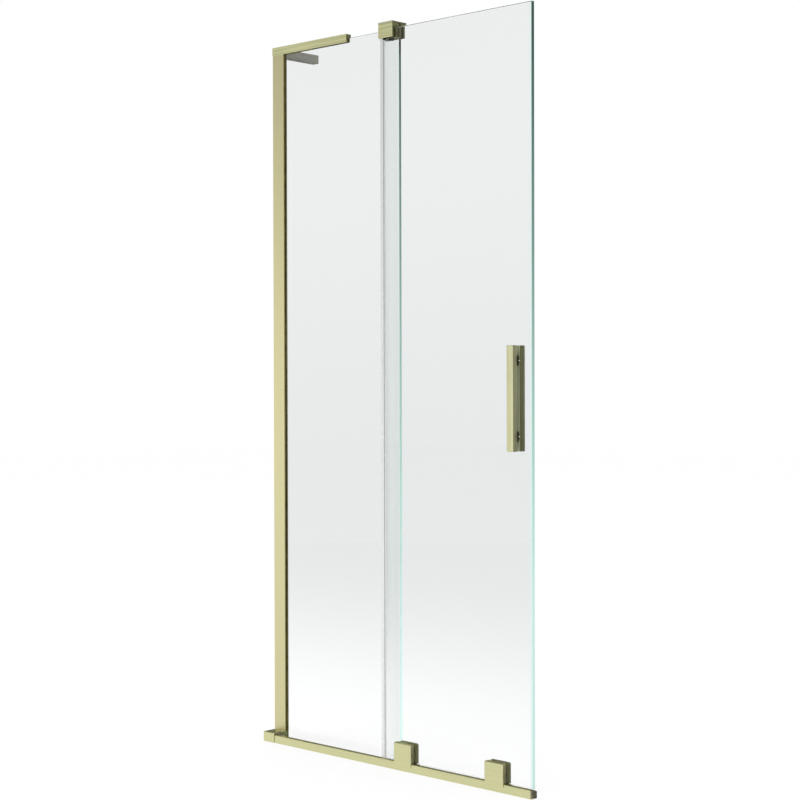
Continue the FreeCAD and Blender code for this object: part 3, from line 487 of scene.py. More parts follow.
def spread(tree, value, low, high, from_low=0.0, from_high=1.0):
    """Map a value from one range to another."""
    ranges = {"From Min": from_low, "From Max": from_high, "To Min": low, "To Max": high}
    return add_node(tree, "ShaderNodeMapRange", {"Value": value, **ranges}).outputs["Result"]


def mix(tree, factor, first, second, kind="RGBA"):
    """Mix two colours or vectors, each one given as numbers or as a socket."""
    values = {"Factor": factor, "A": first, "B": second}
    return add_node(tree, "ShaderNodeMix", values, data_type=kind).outputs["Result"]


def mix_shaders(tree, factor, first, second):
    """Mix the first outputs of two shaders."""
    values = {"Fac": factor, 1: first.outputs[0], 2: second.outputs[0]}
    return add_node(tree, "ShaderNodeMixShader", values).outputs["Shader"]


def noise(tree, vector, scale, detail, roughness=0.55):
    """Noise on a vector."""
    values = {"Vector": vector, "Scale": scale, "Detail": detail, "Roughness": roughness}
    return add_node(tree, "ShaderNodeTexNoise", values).outputs["Fac"]


def places(tree):
    """A piece's Object coordinates."""
    return add_node(tree, "ShaderNodeTexCoord").outputs["Object"]


def coordinate(tree, kind, axis):
    """One part, X, Y or Z, of a piece's Object or Normal coordinates."""
    whole = add_node(tree, "ShaderNodeTexCoord").outputs[kind]
    return add_node(tree, "ShaderNodeSeparateXYZ", {"Vector": whole}).outputs[axis]


def colour_ramp(tree, factor, stops, easing="LINEAR"):
    """Colours along a factor, given as pairs of place and colour."""
    node = add_node(tree, "ShaderNodeValToRGB", {"Fac": factor})
    ramp = node.color_ramp
    ramp.interpolation = easing
    while len(ramp.elements) < len(stops):
        ramp.elements.new(0.5)
    for element, (place, colour) in zip(ramp.elements, stops):
        element.position = place
        element.color = (*colour, 1)
    return node.outputs["Color"]


def relief(tree, height, depth, strength):
    """Normal of a fine relief, with its depth in metres."""
    values = {"Height": height, "Distance": depth, "Strength": strength}
    return add_node(tree, "ShaderNodeBump", values).outputs["Normal"]


def new_material(name):
    """Material, its node tree and its Principled shader."""
    material = bpy.data.materials.new(name)
    material.use_nodes = True
    tree = material.node_tree
    return material, tree, tree.nodes["Principled BSDF"]


def scaled(colour, factors):
    """A colour with each channel times its factor, and no channel above 1."""
    return [min(1.0, channel * factor) for channel, factor in zip(colour, factors)]


# Shared effects

def new_group(name, inputs, outputs):
    """Shader node group with named sockets, what its inputs give, and its output node."""
    group = bpy.data.node_groups.new(name, "ShaderNodeTree")
    for label, kind, default in inputs:
        socket = group.interface.new_socket(label, in_out="INPUT", socket_type=kind)
        socket.default_value = default
    for label in outputs:
        group.interface.new_socket(label, in_out="OUTPUT", socket_type="NodeSocketFloat")
    return group, add_node(group, "NodeGroupInput").outputs, add_node(group, "NodeGroupOutput")


def brush_marks(name):
    """Long brush marks: one direction on most faces, another on the faces that look along X."""
    group, given, result = new_group(
        name, [("Run", "NodeSocketVector", (1, 1, 1)), ("Side Run", "NodeSocketVector", (1, 1, 1))],
        ["Marks", "Fine", "Smudge"])
    sideways = maths(group, "ABSOLUTE", coordinate(group, "Normal", "X"))
    is_side = maths(group, "GREATER_THAN", sideways, (PART_TURNED + FULLY_TURNED) / 2)
    run = mix(group, is_side, given["Run"], given["Side Run"], "VECTOR")
    stretched = multiply(group, places(group), run)
    feed(group, result, {
        "Marks": noise(group, stretched, 1.0, 3.0),
        "Fine": noise(group, stretched, FINE_MARKS, 2.0),
        "Smudge": noise(group, places(group), SMUDGES, 2.0),
    })
    return group


def height_fade(name):
    """Height on the glass as a share, and a fine mottle."""
    group, given, result = new_group(
        name, [("Foot", "NodeSocketFloat", 0.0), ("Head", "NodeSocketFloat", GLASS_TOP)],
        ["Share", "Mottle"])
    height = coordinate(group, "Object", "Z")
    feed(group, result, {
        "Share": spread(group, height, 0.0, 1.0, given["Foot"], given["Head"]),
        "Mottle": noise(group, places(group), MOTTLE, 3.0),
    })
    return group


def fine_grain(name):
    """Fine moulded grain for rubber, nylon and rolled metal, and broad patches."""
    group, given, result = new_group(
        name, [("Grain Size", "NodeSocketFloat", 0.0008)], ["Grain", "Patch"])
    scale = maths(group, "DIVIDE", 1.0, given["Grain Size"])
    feed(group, result, {
        "Grain": noise(group, places(group), scale, 3.0, 0.5),
        "Patch": noise(group, places(group), PATCHES, 2.0),
    })
    return group


GROUPS = {"Brush Marks": brush_marks, "Height Fade": height_fade, "Fine Grain": fine_grain}


def place_group(tree, name, values=None):
    """Outputs of a shared group in a material, with its own values; the group is built on first use."""
    group = bpy.data.node_groups.get(name) or GROUPS[name](name)
    return add_node(tree, "ShaderNodeGroup", values, node_tree=group).outputs


# Finishes

def dress(nodes, material):
    """Give CAD nodes one finish."""
    for name in nodes:
        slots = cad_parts[name].data.materials
        slots.clear()
        slots.append(material)


def brushed(name, run, side_run, dark, light, roughness, metal=1.0, contrast=1.0):
    """Satin metal with brush marks from a dark to a light colour; its material, tree and shader."""
    material, tree, shader = new_material(name)
    marks = place_group(tree, "Brush Marks", {"Run": run, "Side Run": side_run})
    depth = spread(tree, marks["Marks"], 0.5 - contrast / 2, 0.5 + contrast / 2, *NOISE_RANGE)
    change = BRUSH_ROUGHNESS_CHANGE * min(1.0, contrast)
    feed(tree, shader, {
        "Base Color": mix(tree, depth, dark, light),
        "Roughness": spread(tree, marks["Smudge"], roughness - change, roughness + change, *NOISE_RANGE),
        "Metallic": metal,
        "Normal": relief(tree, marks["Fine"], *BRUSH_RELIEF),
    })
    return material, tree, shader


def gold_run(axis):
    """Scale of the brush marks for a piece that is brushed along an axis, 0 to 2."""
    settings = bpy.context.scene.bath_screen_gold
    run = [1 / settings.mark_width] * 3
    run[axis] = 1 / settings.mark_length
    return run


def brushed_gold(name, axis, run, side_run, tone=WHITE, contrast=1.0):
    """Satin gold with brush marks along an axis, which spread its reflections across them."""
    settings = bpy.context.scene.bath_screen_gold
    dark, light = scaled(settings.dark, tone), scaled(settings.light, tone)
    material, tree, shader = brushed(
        name, run, side_run, dark, light, settings.roughness, contrast=contrast)
    tangent = add_node(tree, "ShaderNodeTangent", direction_type="RADIAL", axis=axis).outputs["Tangent"]
    feed(tree, shader, {"Tangent": tangent, "Anisotropic": settings.anisotropy})
    return material


def inner_gold():
    """Upright brushed gold with painted light on its face towards the glass, which is paler and not metal,
    and painted shade on its upright sides.
    """
    settings = bpy.context.scene.bath_screen_gold
    material = brushed_gold("gold_inner", "Z", gold_run(2), gold_run(2))
    tree = material.node_tree
    shader = tree.nodes["Principled BSDF"]
    gold = shader.inputs["Base Color"].links[0].from_socket
    facing = coordinate(tree, "Normal", "Y")
    to_glass = spread(tree, facing, 1.0, 0.0, -FULLY_TURNED, -PART_TURNED)
    sideways = maths(tree, "ABSOLUTE", coordinate(tree, "Normal", "X"))
    to_side = spread(tree, sideways, 0.0, 1.0, PART_TURNED, FULLY_TURNED)
    # Painted light: the face towards the glass paler, and below, not metal
    pale = mix(tree, to_glass, WHITE, settings.inner_face_light)
    # Painted shade on the upright sides
    shaded = mix(tree, to_side, WHITE, settings.inner_side_shade)
    feed(tree, shader, {
        "Base Color": multiply(tree, gold, multiply(tree, pale, shaded)),
        "Metallic": spread(tree, to_glass, 1.0, 0.0),
    })
    return material


def satin_leg():
    """Satin finish of the brace's leg, greyer and less metal as painted shade, brushed along it."""
    settings = bpy.context.scene.bath_screen_gold
    dark = scaled(settings.leg, [LEG_SHADE] * 3)
    return brushed(
        "satin_leg", gold_run(1), gold_run(1), dark, settings.leg, LEG_ROUGHNESS,
        LEG_METAL)[0]


def clear_glass(name, bands):
    """Clear float glass, a little grey and green, with painted shade that greys it higher up and leaves it
    clear at its foot, and bands of painted light along X.
    """
    settings = bpy.context.scene.bath_screen_glass
    material, tree, shader = new_material(name)
    tones = (settings.tint_and_shade_foot, settings.tint_and_shade_middle, settings.tint_and_shade_middle, settings.tint_and_shade_top)
    share = place_group(tree, "Height Fade")["Share"]
    # Painted shade: greyer higher up, clear at the foot
    tint = colour_ramp(tree, share, list(zip(TINT_AND_SHADE_PLACES, tones)), "EASE")
    # Painted light and glow in bands along X
    for colour, start, end in bands:
        beside = spread(tree, coordinate(tree, "Object", "X"), 0.0, 1.0, start, end)
        tint = mix(tree, beside, tint, colour)
    feed(tree, shader, {
        "Base Color": tint,
        "Roughness": 0.0,
        "Specular Tint": settings.gloss,
        "IOR": settings.refraction,
        "Transmission Weight": 1.0,
    })
    return material


def ground_edge(name, lift=1.0, glow=0.0, painted_shadow_from=None):
    """Ground glass edge, green with painted shade: deep teal at the top that lightens to mint at the foot.
    """
    settings = bpy.context.scene.bath_screen_glass
    material, tree, shader = new_material(name)
    fade = place_group(tree, "Height Fade")
    tones = (settings.edge_green_and_shade_foot, settings.edge_green_and_shade_middle, settings.edge_green_and_shade_upper, settings.edge_green_and_shade_top)
    # Painted shade down the edge, each colour times the painted lift
    stops = [(place, scaled(tone, [lift] * 3)) for place, tone in zip(EDGE_SHADE_PLACES, tones)]
    # Painted shadow: the edge dark above a height, under the guide
    if painted_shadow_from is not None:
        stops.append((painted_shadow_from / GLASS_TOP, settings.edge_shadow))
    colour = colour_ramp(tree, fade["Share"], stops)
    feed(tree, shader, {
        "Base Color": colour,
        # Painted glow: the edge's colour given off as light
        "Emission Color": colour,
        "Emission Strength": glow,
        "Roughness": spread(tree, fade["Mottle"], *EDGE_ROUGHNESS),
        "Specular IOR Level": EDGE_SHINE,
        "Normal": relief(tree, fade["Mottle"], *EDGE_RELIEF),
    })
    return material


def matt_rim(name, cover, glow):
    """Ground glass of a pane's upper or lower edge, with a painted glow for the light that the pane carries
    to it.
    """
    settings = bpy.context.scene.bath_screen_glass
    material, tree, shader = new_material(name)
    mottle = place_group(tree, "Height Fade")["Mottle"]
    dark = scaled(settings.rim_colour, [RIM_SHADE] * 3)
    feed(tree, shader, {
        "Base Color": mix(tree, mottle, dark, settings.rim_colour),
        "Emission Color": settings.edge_green_and_shade_upper,
        "Emission Strength": glow,
        "Alpha": cover,
        "Roughness": spread(tree, mottle, *RIM_ROUGHNESS),
        "IOR": settings.refraction,
        "Transmission Weight": 1.0,
    })
    return material


def clear_seal(name, clarity, core=None):
    """Translucent extruded plastic, darker towards the top as painted shade, with a painted dark core at a
    place along X.
    """
    settings = bpy.context.scene.bath_screen_soft
    material, tree, shader = new_material(name)
    fade = place_group(tree, "Height Fade")
    # Painted shade: darker towards the top
    colour = mix(tree, fade["Share"], settings.seal_lit_foot, settings.seal_shaded_top)
    # Painted shade: a dark core at a place along X
    if core is not None:
        offset = maths(tree, "SUBTRACT", coordinate(tree, "Object", "X"), core)
        away = maths(tree, "ABSOLUTE", offset)
        width = settings.core_width
        thick = spread(tree, away, 1.0, 0.0, width * CORE_SOLID, width)
        colour = multiply(tree, colour, mix(tree, thick, WHITE, [settings.core_shade] * 3))
    feed(tree, shader, {
        "Base Color": colour,
        "Roughness": spread(tree, fade["Mottle"], *PLASTIC_ROUGHNESS),
        "IOR": PLASTIC_REFRACTION,
        "Transmission Weight": clarity,
    })
    return material


def grained(name, variation, roughness, grain_size, metallic=0.0, depth=0.00004, shine=0.5):
    """Finish in the colour set under its name, with a fine grain and faint patches."""
    colour = getattr(bpy.context.scene.bath_screen_soft, name)
    material, tree, shader = new_material(name)
    grain = place_group(tree, "Fine Grain", {"Grain Size": grain_size})
    dark, light = scaled(colour, [1 - variation] * 3), scaled(colour, [1 + variation] * 3)
    change = GRAIN_ROUGHNESS_CHANGE
    feed(tree, shader, {
        "Base Color": mix(tree, spread(tree, grain["Patch"], 0.0, 1.0, *NOISE_RANGE), dark, light),
        "Roughness": spread(tree, grain["Grain"], roughness - change, roughness + change),
        "Metallic": metallic,
        "Specular IOR Level": shine,
        "Normal": relief(tree, grain["Grain"], depth, GRAIN_STRENGTH),
    })
    return material


def plain_finish(name):
    """One of the grained finishes, made on first use."""
    return bpy.data.materials.get(name) or grained(name, **GRAINS[name])


# Stage

class BATHSCREEN_OT_stage(bpy.types.Operator):
    """Set up the camera, the pale floor, the light and the shade cards"""

    bl_idname = "bath_screen.stage"
    bl_label = "Stage"

    def execute(self, context):
        scene = context.scene
        settings = scene.bath_screen_stage
        scene.view_settings.view_transform = "Standard"
        add_camera(scene, settings)
        add_world(scene, settings)
        add_floor(settings)
        add_lamps(scene, settings)
        add_cards(settings)
        return {"FINISHED"}


def add_camera(scene, settings):
    """Camera at the photograph's place and angle."""
    data = bpy.data.cameras.new("camera")
    data.sensor_width = SENSOR_WIDTH
    data.lens = settings.lens
    data.shift_y = settings.rise
    camera = bpy.data.objects.new("camera", data)
    camera.matrix_world = (
        Matrix.Translation(settings.camera_place)
        @ Matrix.Rotation(settings.camera_yaw, 4, "Z")
        @ Matrix.Rotation(math.pi / 2 - settings.camera_pitch, 4, "X")
        @ Matrix.Rotation(settings.camera_roll, 4, "Z")
    )
    scene.collection.objects.link(camera)
    scene.camera = camera


def seen_directly(tree):
    """Mask of the rays that show a background: camera, glossy and transmission rays."""
    rays = add_node(tree, "ShaderNodeLightPath").outputs
    either = maths(tree, "MAXIMUM", rays["Is Camera Ray"], rays["Is Glossy Ray"])
    return maths(tree, "MAXIMUM", either, rays["Is Transmission Ray"])


def add_world(scene, settings):
    """Even light from all round, and a white background."""
    scene.world = bpy.data.worlds.new("studio")
    scene.world.use_nodes = True
    tree = scene.world.node_tree
    light = tree.nodes["Background"]
    feed(tree, light, {"Color": WHITE, "Strength": settings.plain_light})
    white = add_node(tree, "ShaderNodeBackground", {"Color": WHITE, "Strength": 1.0})
    feed(tree, tree.nodes["World Output"], {"Surface": mix_shaders(tree, seen_directly(tree), light, white)})


def add_lamps(scene, settings):
    """Soft lamps that look at the middle of the screen and don't show in it."""
    middle = sum(CAD_BOX, Vector()) / 2
    for name, place in LAMPS.items():
        data = bpy.data.lights.new(name, "AREA")
        data.size = settings.lamp_size
        data.energy = settings.lamp_power
        lamp = bpy.data.objects.new(name, data)
        lamp.location = place
        lamp.rotation_euler = (middle - place).to_track_quat("-Z", "Y").to_euler()
        lamp.visible_glossy = False
        lamp.visible_transmission = False
        scene.collection.objects.link(lamp)


def flat_card(name, width, height, place, turn, material):
    """Upright or level card on the stage."""
    mesh = bmesh.new()
    bmesh.ops.create_grid(mesh, x_segments=1, y_segments=1, size=0.5)
    bmesh.ops.scale(mesh, vec=(width, height, 1), verts=mesh.verts)
    bmesh.ops.rotate(mesh, matrix=turn, verts=mesh.verts)
    bmesh.ops.translate(mesh, vec=place, verts=mesh.verts)
    card = new_object(mesh, name, [material])
    return card


def stage_material(name):
    """Material without its first shader, its node tree and its output node."""
    material, tree, shader = new_material(name)
    tree.nodes.remove(shader)
    return material, tree, tree.nodes["Material Output"]


def add_floor(settings):
    """Pale floor that shows mostly white, and keeps the object's shadow."""
    material, tree, output = stage_material("pale_floor")
    paper = add_node(tree, "ShaderNodeBsdfDiffuse", {"Color": FLOOR_PAPER})
    glow = add_node(tree, "ShaderNodeEmission", {"Strength": 1.0})
    share = maths(tree, "MULTIPLY", seen_directly(tree), settings.floor_glow)
    feed(tree, output, {"Surface": mix_shaders(tree, share, paper, glow)})
    size = settings.floor_size
    flat_card("floor", size, size, Vector((0, 0, -settings.floor_gap)), Matrix.Identity(3), material)


def shade_material(name):
    """Card's glow, which changes with height and shows in reflections alone."""
    material, tree, output = stage_material(name)
    share = spread(tree, coordinate(tree, "Object", "Z"), 0.0, 1.0, 0.0, CARD_HEIGHT)
    stops = [(height / CARD_HEIGHT, colour) for height, colour in CARD_GLOWS[name]]
    glow = add_node(tree, "ShaderNodeEmission", {"Color": colour_ramp(tree, share, stops, "EASE")})
    depth = add_node(tree, "ShaderNodeLightPath").outputs["Glossy Depth"]
    mirrored = maths(tree, "GREATER_THAN", depth, 0.5)
    clear = add_node(tree, "ShaderNodeBsdfTransparent")
    feed(tree, output, {"Surface": mix_shaders(tree, mirrored, clear, glow)})
    return material


def add_cards(settings):
    """Cards that only reflections see: one right and one left behind, one in front and one on the floor."""
    back, front, side = [shade_material(name) for name in CARD_GLOWS]
    upright = Matrix.Rotation(math.pi / 2, 3, "X")
    cards = []
    for name, x, y, material in (
        ("card_right_back", 1, 1, side),
        ("card_left_back", -1, 1, back),
        ("card_left_front", -1, -1, front),
    ):
        turn = Matrix.Rotation(math.atan2(-x, y), 3, "Z") @ upright
        place = Vector((x * CARD_REACH, y * CARD_REACH, CARD_HEIGHT / 2))
        cards.append(flat_card(name, CARD_WIDTH, CARD_HEIGHT, place, turn, material))
    place = Vector((0, CARD_REACH, -settings.floor_gap / 2))
    cards.append(flat_card("card_floor_back", CARD_WIDTH, 2 * CARD_REACH, place, Matrix.Identity(3), back))
    for card in cards:
        card.visible_camera = False
        card.visible_diffuse = False
        card.visible_volume_scatter = False
        card.visible_shadow = False


# Gold

class BATHSCREEN_OT_gold(bpy.types.Operator):
    """Finish the rail, blocks and bars in brushed gold"""

    bl_idname = "bath_screen.gold"
    bl_label = "Brushed gold"

    def execute(self, context):
        gold = context.scene.bath_screen_gold
        level, inward, upright = gold_run(0), gold_run(1), gold_run(2)
        dress(STREAKED, brushed_gold("gold_streaked", "X", level, upright, contrast=gold.streaks))
        dress(SOFTLY_BRUSHED, brushed_gold("gold_soft", "X", level, upright, contrast=gold.soft_streaks))
        dress(["handle_outer"], brushed_gold("gold_handle", "Z", upright, upright, gold.handle_tone))
        # Inner handle with painted light and shade
        dress(["handle_inner"], inner_gold())
        dress(["guide_cap"], brushed_gold("gold_cap", "X", level, upright, gold.cap_tone))
        # Rail's end cap with painted shade
        dress(["rail_end_cap"], brushed_gold("gold_end", "Z", upright, inward, gold.end_shade))
        # Brace's leg greyed with painted shade
        dress(["brace_leg"], satin_leg())
        return {"FINISHED"}


# Glass

class BATHSCREEN_OT_glass(bpy.types.Operator):
    """Build the fixed and the sliding pane with ground edges and drilled holes"""

    bl_idname = "bath_screen.glass"
    bl_label = "Glass panes"

    def execute(self, context):
        settings = context.scene.bath_screen_glass
        rims = [
            matt_rim("matt_top", 1.0, settings.top_painted_glow),
            matt_rim("matt_foot", settings.foot_cover, 0.0),
        ]
        fixed_glass(settings, rims)
        sliding_glass(settings, rims)
        return {"FINISHED"}


def fixed_glass(settings, rims):
    """Fixed pane, with painted light and shade where the sliding pane covers it, a painted glow at its free
    edge, and painted shadow under the guide.
    """
    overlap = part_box("sliding_pane")[0].x
    free_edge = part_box("fixed_pane")[1].x
    face = clear_glass("fixed_face", [
        (settings.overlap_light_and_shade, overlap - settings.overlap_width, overlap),
        (settings.fixed_painted_glow, free_edge - settings.painted_glow_width, free_edge),
    ])
    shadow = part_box("guide_block")[0].z - settings.shadow_drop
    edge = ground_edge("fixed_edge", settings.fixed_edge_painted_lift, settings.fixed_edge_painted_glow, shadow)
    glass_pane("fixed_glass", [face, edge, *rims], "frame", "fixed_pane", [], settings)


def sliding_glass(settings, rims):
    """Sliding pane, with a painted glow at its free edge, and holes for the rollers' screws and the handle's
    bolts.
    """
    free_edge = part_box("sliding_pane")[1].x
    face = clear_glass("sliding_face", [(settings.sliding_painted_glow, free_edge - settings.painted_glow_width, free_edge)])
    holes = []
    for side in SIDES:
        screws = row_of_heads("roller_screws_" + side, 0)[0]
        holes += [(centre, settings.screw_hole) for centre in screws]
    holes += [(centre, settings.bolt_hole) for centre in row_of_heads("handle_bolts", 2)[0]]
    edge = ground_edge("sliding_edge")
    glass_pane("sliding_glass", [face, edge, *rims], "door", "sliding_pane", holes, settings)


def glass_pane(name, materials, body, node, holes, settings):
    """Sheet of glass in the place of a node, with holes and a ground arris."""
    low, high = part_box(node)
    mesh = bmesh.new()
    places_xz = [(low.x, low.z), (high.x, low.z), (high.x, high.z), (low.x, high.z)]
    points = [mesh.verts.new((x, low.y, z)) for x, z in places_xz]
    outline = [mesh.edges.new((points[i - 1], points[i])) for i in range(4)]
    for centre, radius in holes:
        place = Matrix.Translation((centre.x, low.y, centre.z)) @ Matrix.Rotation(math.pi / 2, 4, "X")
        ring = bmesh.ops.create_circle(mesh, segments=settings.hole_segments, radius=radius, matrix=place)
        outline += edge_loop(ring["verts"])
    filled = bmesh.ops.triangle_fill(mesh, use_beauty=True, use_dissolve=False, edges=outline)
    extrude_sheet(mesh, only(BMFace, filled["geom"]), (0, high.y - low.y, 0))
    corners = [edge for edge in mesh.edges if edge.calc_face_angle(0) > CORNER]
    rims = [edge for edge in corners if on_outline(edge, low, high)]
    bevel_edges(mesh, rims, settings.arris, 1)
    for face in mesh.faces:
        face.material_index = pane_side(face.normal)
    pane = finish_piece(mesh, name, materials, body, node, smooth=False)
    pane.visible_shadow = False


def on_outline(edge, low, high):
    """Whether an edge lies on the outline of a sheet between two corners."""
    middle = (edge.verts[0].co + edge.verts[1].co) / 2
    return any(abs(middle[axis] - side[axis]) < TOUCHING for axis in (0, 2) for side in (low, high))


def pane_side(normal):
    """Which material a face of a pane takes: face 0, upright edge 1, upper edge 2 or lower edge 3."""
    if abs(normal.x) > HALF_TURNED:
        return 1
    if abs(normal.z) > HALF_TURNED:
        return 2 if normal.z > 0 else 3
    return 0


# Seals

class BATHSCREEN_OT_seals(bpy.types.Operator):
    """Build the edge seal, and finish the rubber, nylon, clear plastic and plain metal pieces"""

    bl_idname = "bath_screen.seals"
    bl_label = "Seals and rubber"

    def execute(self, context):
        settings = context.scene.bath_screen_soft
        dress(["fixed_pane_seal"], clear_seal("clear_plastic", SEAL_CLARITY))
        dress(["pane_stop"], clear_seal("milky_plastic", STOP_CLARITY))
        for finish, nodes in GRAINED_NODES.items():
            dress(nodes, plain_finish(finish))
        edge_seal(settings)
        return {"FINISHED"}


def edge_seal(settings):
    """Clip along the sliding pane's edge, with a round nose and a longer lip in front."""
    low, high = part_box("pane_seal")
    glass_low, glass_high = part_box("sliding_pane")
    back = glass_low.x + settings.back_grip
    slot_end = glass_low.x - settings.seal_gap
    front_leg = glass_low.y - settings.seal_gap
    back_leg = glass_high.y + settings.seal_gap
    outline = [
        (low.x, low.y), (high.x, low.y), (high.x, front_leg), (slot_end, front_leg),
        (slot_end, back_leg), (back, back_leg), (back, high.y), (low.x, high.y),
    ]
    mesh = bmesh.new()
    section = mesh.faces.new([mesh.verts.new((x, y, low.z)) for x, y in outline])
    extrude_sheet(mesh, [section], UP * (high.z - low.z))
    for places_x, radius, segments in (
        ([low.x], settings.seal_round, NOSE_STEPS),
        ([high.x, back], settings.lip_round, LIP_STEPS),
    ):
        bevel_edges(mesh, upright_edges(mesh, places_x), radius, segments)
    plastic = clear_seal("clear_edge_seal", EDGE_CLARITY, high.x - settings.core_place)
    seal = finish_piece(mesh, "edge_seal", [plastic], "door", "pane_seal")
    seal.visible_shadow = False


def upright_edges(mesh, places_x):
    """Upright edges of a mesh at some places along X."""
    found = []
    for edge in mesh.edges:
        first, second = [vert.co for vert in edge.verts]
        near = min(abs(first.x - place) for place in places_x) < TOUCHING
        if near and abs(first.z - second.z) > TOUCHING:
            found.append(edge)
    return found


# Fasteners

class BATHSCREEN_OT_fasteners(bpy.types.Operator):
    """Build the screws, bolts and grub screws with hexagon sockets"""

    bl_idname = "bath_screen.fasteners"
    bl_label = "Fasteners"

    def execute(self, context):
        settings = context.scene.bath_screen_fasteners
        rows = [
            ("guide_screws", 0, 2, settings.small_head, "frame"),
            ("profile_screws", 2, 3, settings.small_head, "frame"),
            ("handle_bolts", 2, 2, settings.handle_head, "door"),
            ("brace_set_screws", 0, 2, None, "frame"),
            ("rail_grub_screws", 0, 2, None, "frame"),
        ]
        rows += [("roller_screws_" + side, 0, 2, settings.roller_head, "door") for side in SIDES]
        for row in rows:
            screw_row(*row, settings)
        return {"FINISHED"}


def screw_row(node, axis, count, head_height, body, settings):
    """Row of equal screws in the place of a node; a screw without a head is one plain rod."""
    centres, radius, length = row_of_heads(node, axis, count)
    mesh = bmesh.new()
    for top in centres:
        socket_screw(mesh, top, radius, head_height or length, length, settings)
    bmesh.ops.recalc_face_normals(mesh, faces=mesh.faces)
    finish_piece(mesh, "dressed_" + node, [plain_finish("plain_steel")], body, node)


def socket_screw(mesh, top, radius, head_height, length, settings):
    """Screw along Y with a hexagon socket in its head, which looks into the bath."""
    face_up = Matrix.Translation(top) @ Matrix.Rotation(-math.pi / 2, 4, "X")
    rim = edge_loop(bmesh.ops.create_circle(
        mesh, segments=settings.segments, radius=radius, matrix=face_up)["verts"])
    hexagon = edge_loop(bmesh.ops.create_circle(
        mesh, segments=SOCKET_SIDES, radius=radius * settings.socket_share, matrix=face_up)["verts"])
    cuts = settings.segments // SOCKET_SIDES - 1
    cut = bmesh.ops.subdivide_edges(mesh, edges=hexagon, cuts=cuts, use_grid_fill=False)
    socket = only(BMEdge, cut["geom"])
    bmesh.ops.bridge_loops(mesh, edges=rim + socket)
    depth = min(settings.socket_depth, head_height * SOCKET_LIMIT)
    bmesh.ops.holes_fill(mesh, edges=extrude_rim(mesh, socket, -INTO_BATH * depth), sides=0)
    under = extrude_rim(mesh, rim, -INTO_BATH * head_height)
    if length > head_height:
        ledge = extrude_rim(mesh, under, Vector())
        bmesh.ops.scale(
            mesh, vec=[settings.shank_share] * 3, verts=list({v for edge in ledge for v in edge.verts}),
            space=Matrix.Translation(INTO_BATH * head_height - top))
        under = extrude_rim(mesh, ledge, -INTO_BATH * (length - head_height))
    bmesh.ops.holes_fill(mesh, edges=under, sides=0)
    bevel_edges(mesh, rim, settings.round_over, HEAD_STEPS)


# Turned pieces

class BATHSCREEN_OT_turned(bpy.types.Operator):
    """Turn the handle's feet, the guide's bumper, the treads and the bearings"""

    bl_idname = "bath_screen.turned"
    bl_label = "Turned pieces"

    def execute(self, context):
        settings = context.scene.bath_screen_turned
        handle_feet(settings)
        guide_bumper(settings)
        for side in SIDES:
            roller_tread(side, settings)
            roller_bearing(side, settings)
        return {"FINISHED"}


def turned_piece(name, centres, outline, axis, across, finish, body, node):
    """Piece with one outline of radius and depth pairs turned once round each of several centres."""
    mesh = bmesh.new()
    steps = bpy.context.scene.bath_screen_turned.steps
    for centre in centres:
        points = [mesh.verts.new(centre + across * radius + axis * depth) for radius, depth in outline]
        edges = [mesh.edges.new(pair) for pair in zip(points, points[1:])]
        bmesh.ops.spin(
            mesh, geom=points + edges, cent=centre, axis=axis, angle=math.tau, steps=steps, use_merge=True)
    bmesh.ops.remove_doubles(mesh, verts=mesh.verts, dist=TOUCHING)
    bmesh.ops.recalc_face_normals(mesh, faces=mesh.faces)
    finish_piece(mesh, name, [plain_finish(finish)], body, node)


def rounded_step(radius, depth, edge, count=4):
    """Points of a convex quarter round from a flat end to a rim, as radius and depth pairs."""
    points = []
    for step in range(count + 1):
        angle = math.pi / 2 * step / count
        points.append((radius - edge + edge * math.sin(angle), depth + edge - edge * math.cos(angle)))
    return points


def handle_feet(settings):
    """Round feet between the outer handle and the glass."""
    centres, radius, depth = row_of_heads("handle_rosettes", 2)
    front = rounded_step(radius, -depth, settings.foot_edge)
    back = [(r, -depth - d) for r, d in reversed(front)]
    outline = [(0, -depth), *front, *back, (0, 0)]
    turned_piece(
        "handle_feet", centres, outline, INTO_BATH, UP, "foot_nylon", "door", "handle_rosettes")


def guide_bumper(settings):
    """Stud under the guide, rounded at its foot."""
    low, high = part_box("guide_bumper")
    foot = Vector(((low.x + high.x) / 2, (low.y + high.y) / 2, low.z))
    radius = (high.x - low.x) / 2
    tall = high.z - low.z
    outline = [(0, 0), *rounded_step(radius, 0, settings.bumper_edge), (radius, tall), (0, tall)]
    turned_piece(
        "bumper_stud", [foot], outline, UP, ALONG_RAIL, "foot_nylon", "frame",
        "guide_bumper")


def roller_middle(node):
    """Front centre, radius and width of a roller piece that turns about Y."""
    low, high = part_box(node)
    centre = (low + high) / 2
    centre.y = low.y
    return centre, (high.x - low.x) / 2, high.y - low.y


def both_sides(half, width):
    """Closed outline from its front half, which is mirrored at the middle of its width."""
    return [*half, *[(radius, width - depth) for radius, depth in reversed(half)], half[0]]


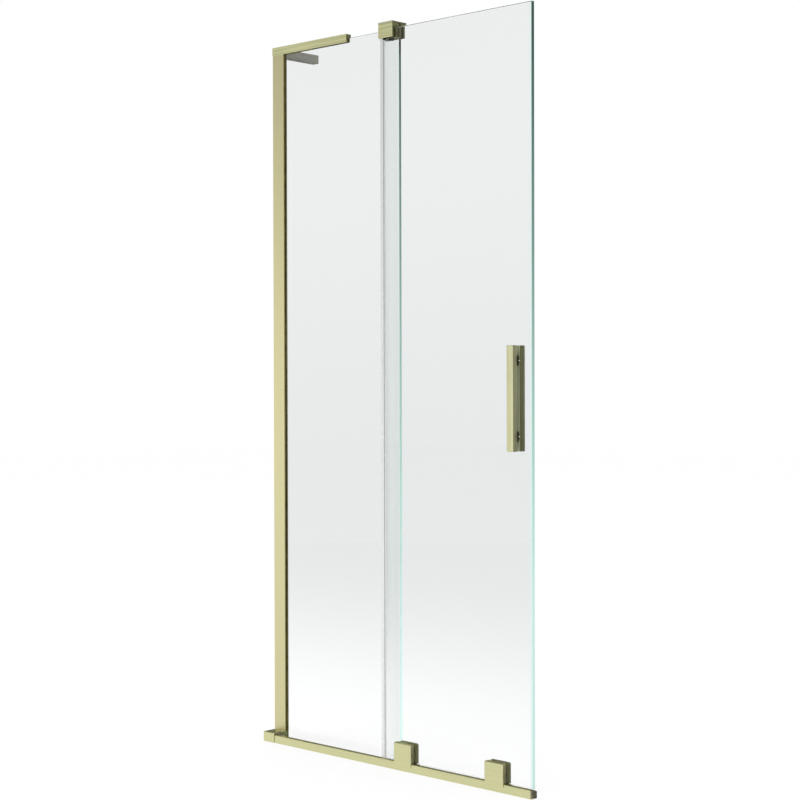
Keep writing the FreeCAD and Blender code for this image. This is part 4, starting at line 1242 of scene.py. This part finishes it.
def roller_tread(side, settings):
    """Crowned tread with dished sides."""
    node = "roller_tyre_" + side
    centre, radius, width = roller_middle(node)
    bore = roller_middle("roller_bearing_" + side)[1]
    crown = settings.tread_crown
    wall = (radius + bore) / 2
    half = [
        (bore, 0), (bore + crown, 0), (wall, crown), (radius - crown, crown), (radius, width / 3),
    ]
    turned_piece(
        "dressed_tyre_" + side, [centre], both_sides(half, width), INTO_BATH, UP, "dark_nylon",
        "roller_" + side, node)


def roller_bearing(side, settings):
    """Bearing with two rings and sunk shields."""
    node = "roller_bearing_" + side
    centre, radius, width = roller_middle(node)
    inner = settings.axle + settings.ring_wall
    outer = radius - settings.ring_wall
    sink = settings.shield_sink
    half = [
        (settings.axle, 0), (inner, 0), (inner, sink), (outer, sink), (outer, 0), (radius, 0),
    ]
    turned_piece(
        "dressed_bearing_" + side, [centre], both_sides(half, width), INTO_BATH, UP, "plain_steel",
        "roller_" + side, node)


# Panel and registration

class BATHSCREEN_PT_sidebar(bpy.types.Panel):
    """List of the steps that dress the screen"""

    bl_idname = "BATHSCREEN_PT_sidebar"
    bl_label = "Bath Screen"
    bl_space_type = "VIEW_3D"
    bl_region_type = "UI"
    bl_category = "Bath Screen"

    def draw(self, context):
        for operator in OPERATORS:
            self.layout.operator(operator.bl_idname)


SETTINGS = {
    "bath_screen_stage": StageSettings,
    "bath_screen_gold": GoldSettings,
    "bath_screen_glass": GlassSettings,
    "bath_screen_soft": SoftSettings,
    "bath_screen_fasteners": FastenerSettings,
    "bath_screen_turned": TurnedSettings,
}
OPERATORS = (
    BATHSCREEN_OT_stage, BATHSCREEN_OT_gold, BATHSCREEN_OT_glass, BATHSCREEN_OT_seals,
    BATHSCREEN_OT_fasteners, BATHSCREEN_OT_turned,
)
CLASSES = (*SETTINGS.values(), *OPERATORS, BATHSCREEN_PT_sidebar)


def register():
    for item in CLASSES:
        bpy.utils.register_class(item)
    for name, group in SETTINGS.items():
        setattr(bpy.types.Scene, name, PointerProperty(type=group))


def unregister():
    for name in SETTINGS:
        delattr(bpy.types.Scene, name)
    for item in reversed(CLASSES):
        bpy.utils.unregister_class(item)


def main():
    register()
    bpy.ops.bath_screen.stage()
    bpy.ops.bath_screen.gold()
    bpy.ops.bath_screen.glass()
    bpy.ops.bath_screen.seals()
    bpy.ops.bath_screen.fasteners()
    bpy.ops.bath_screen.turned()


if __name__ == "__main__":
    main()
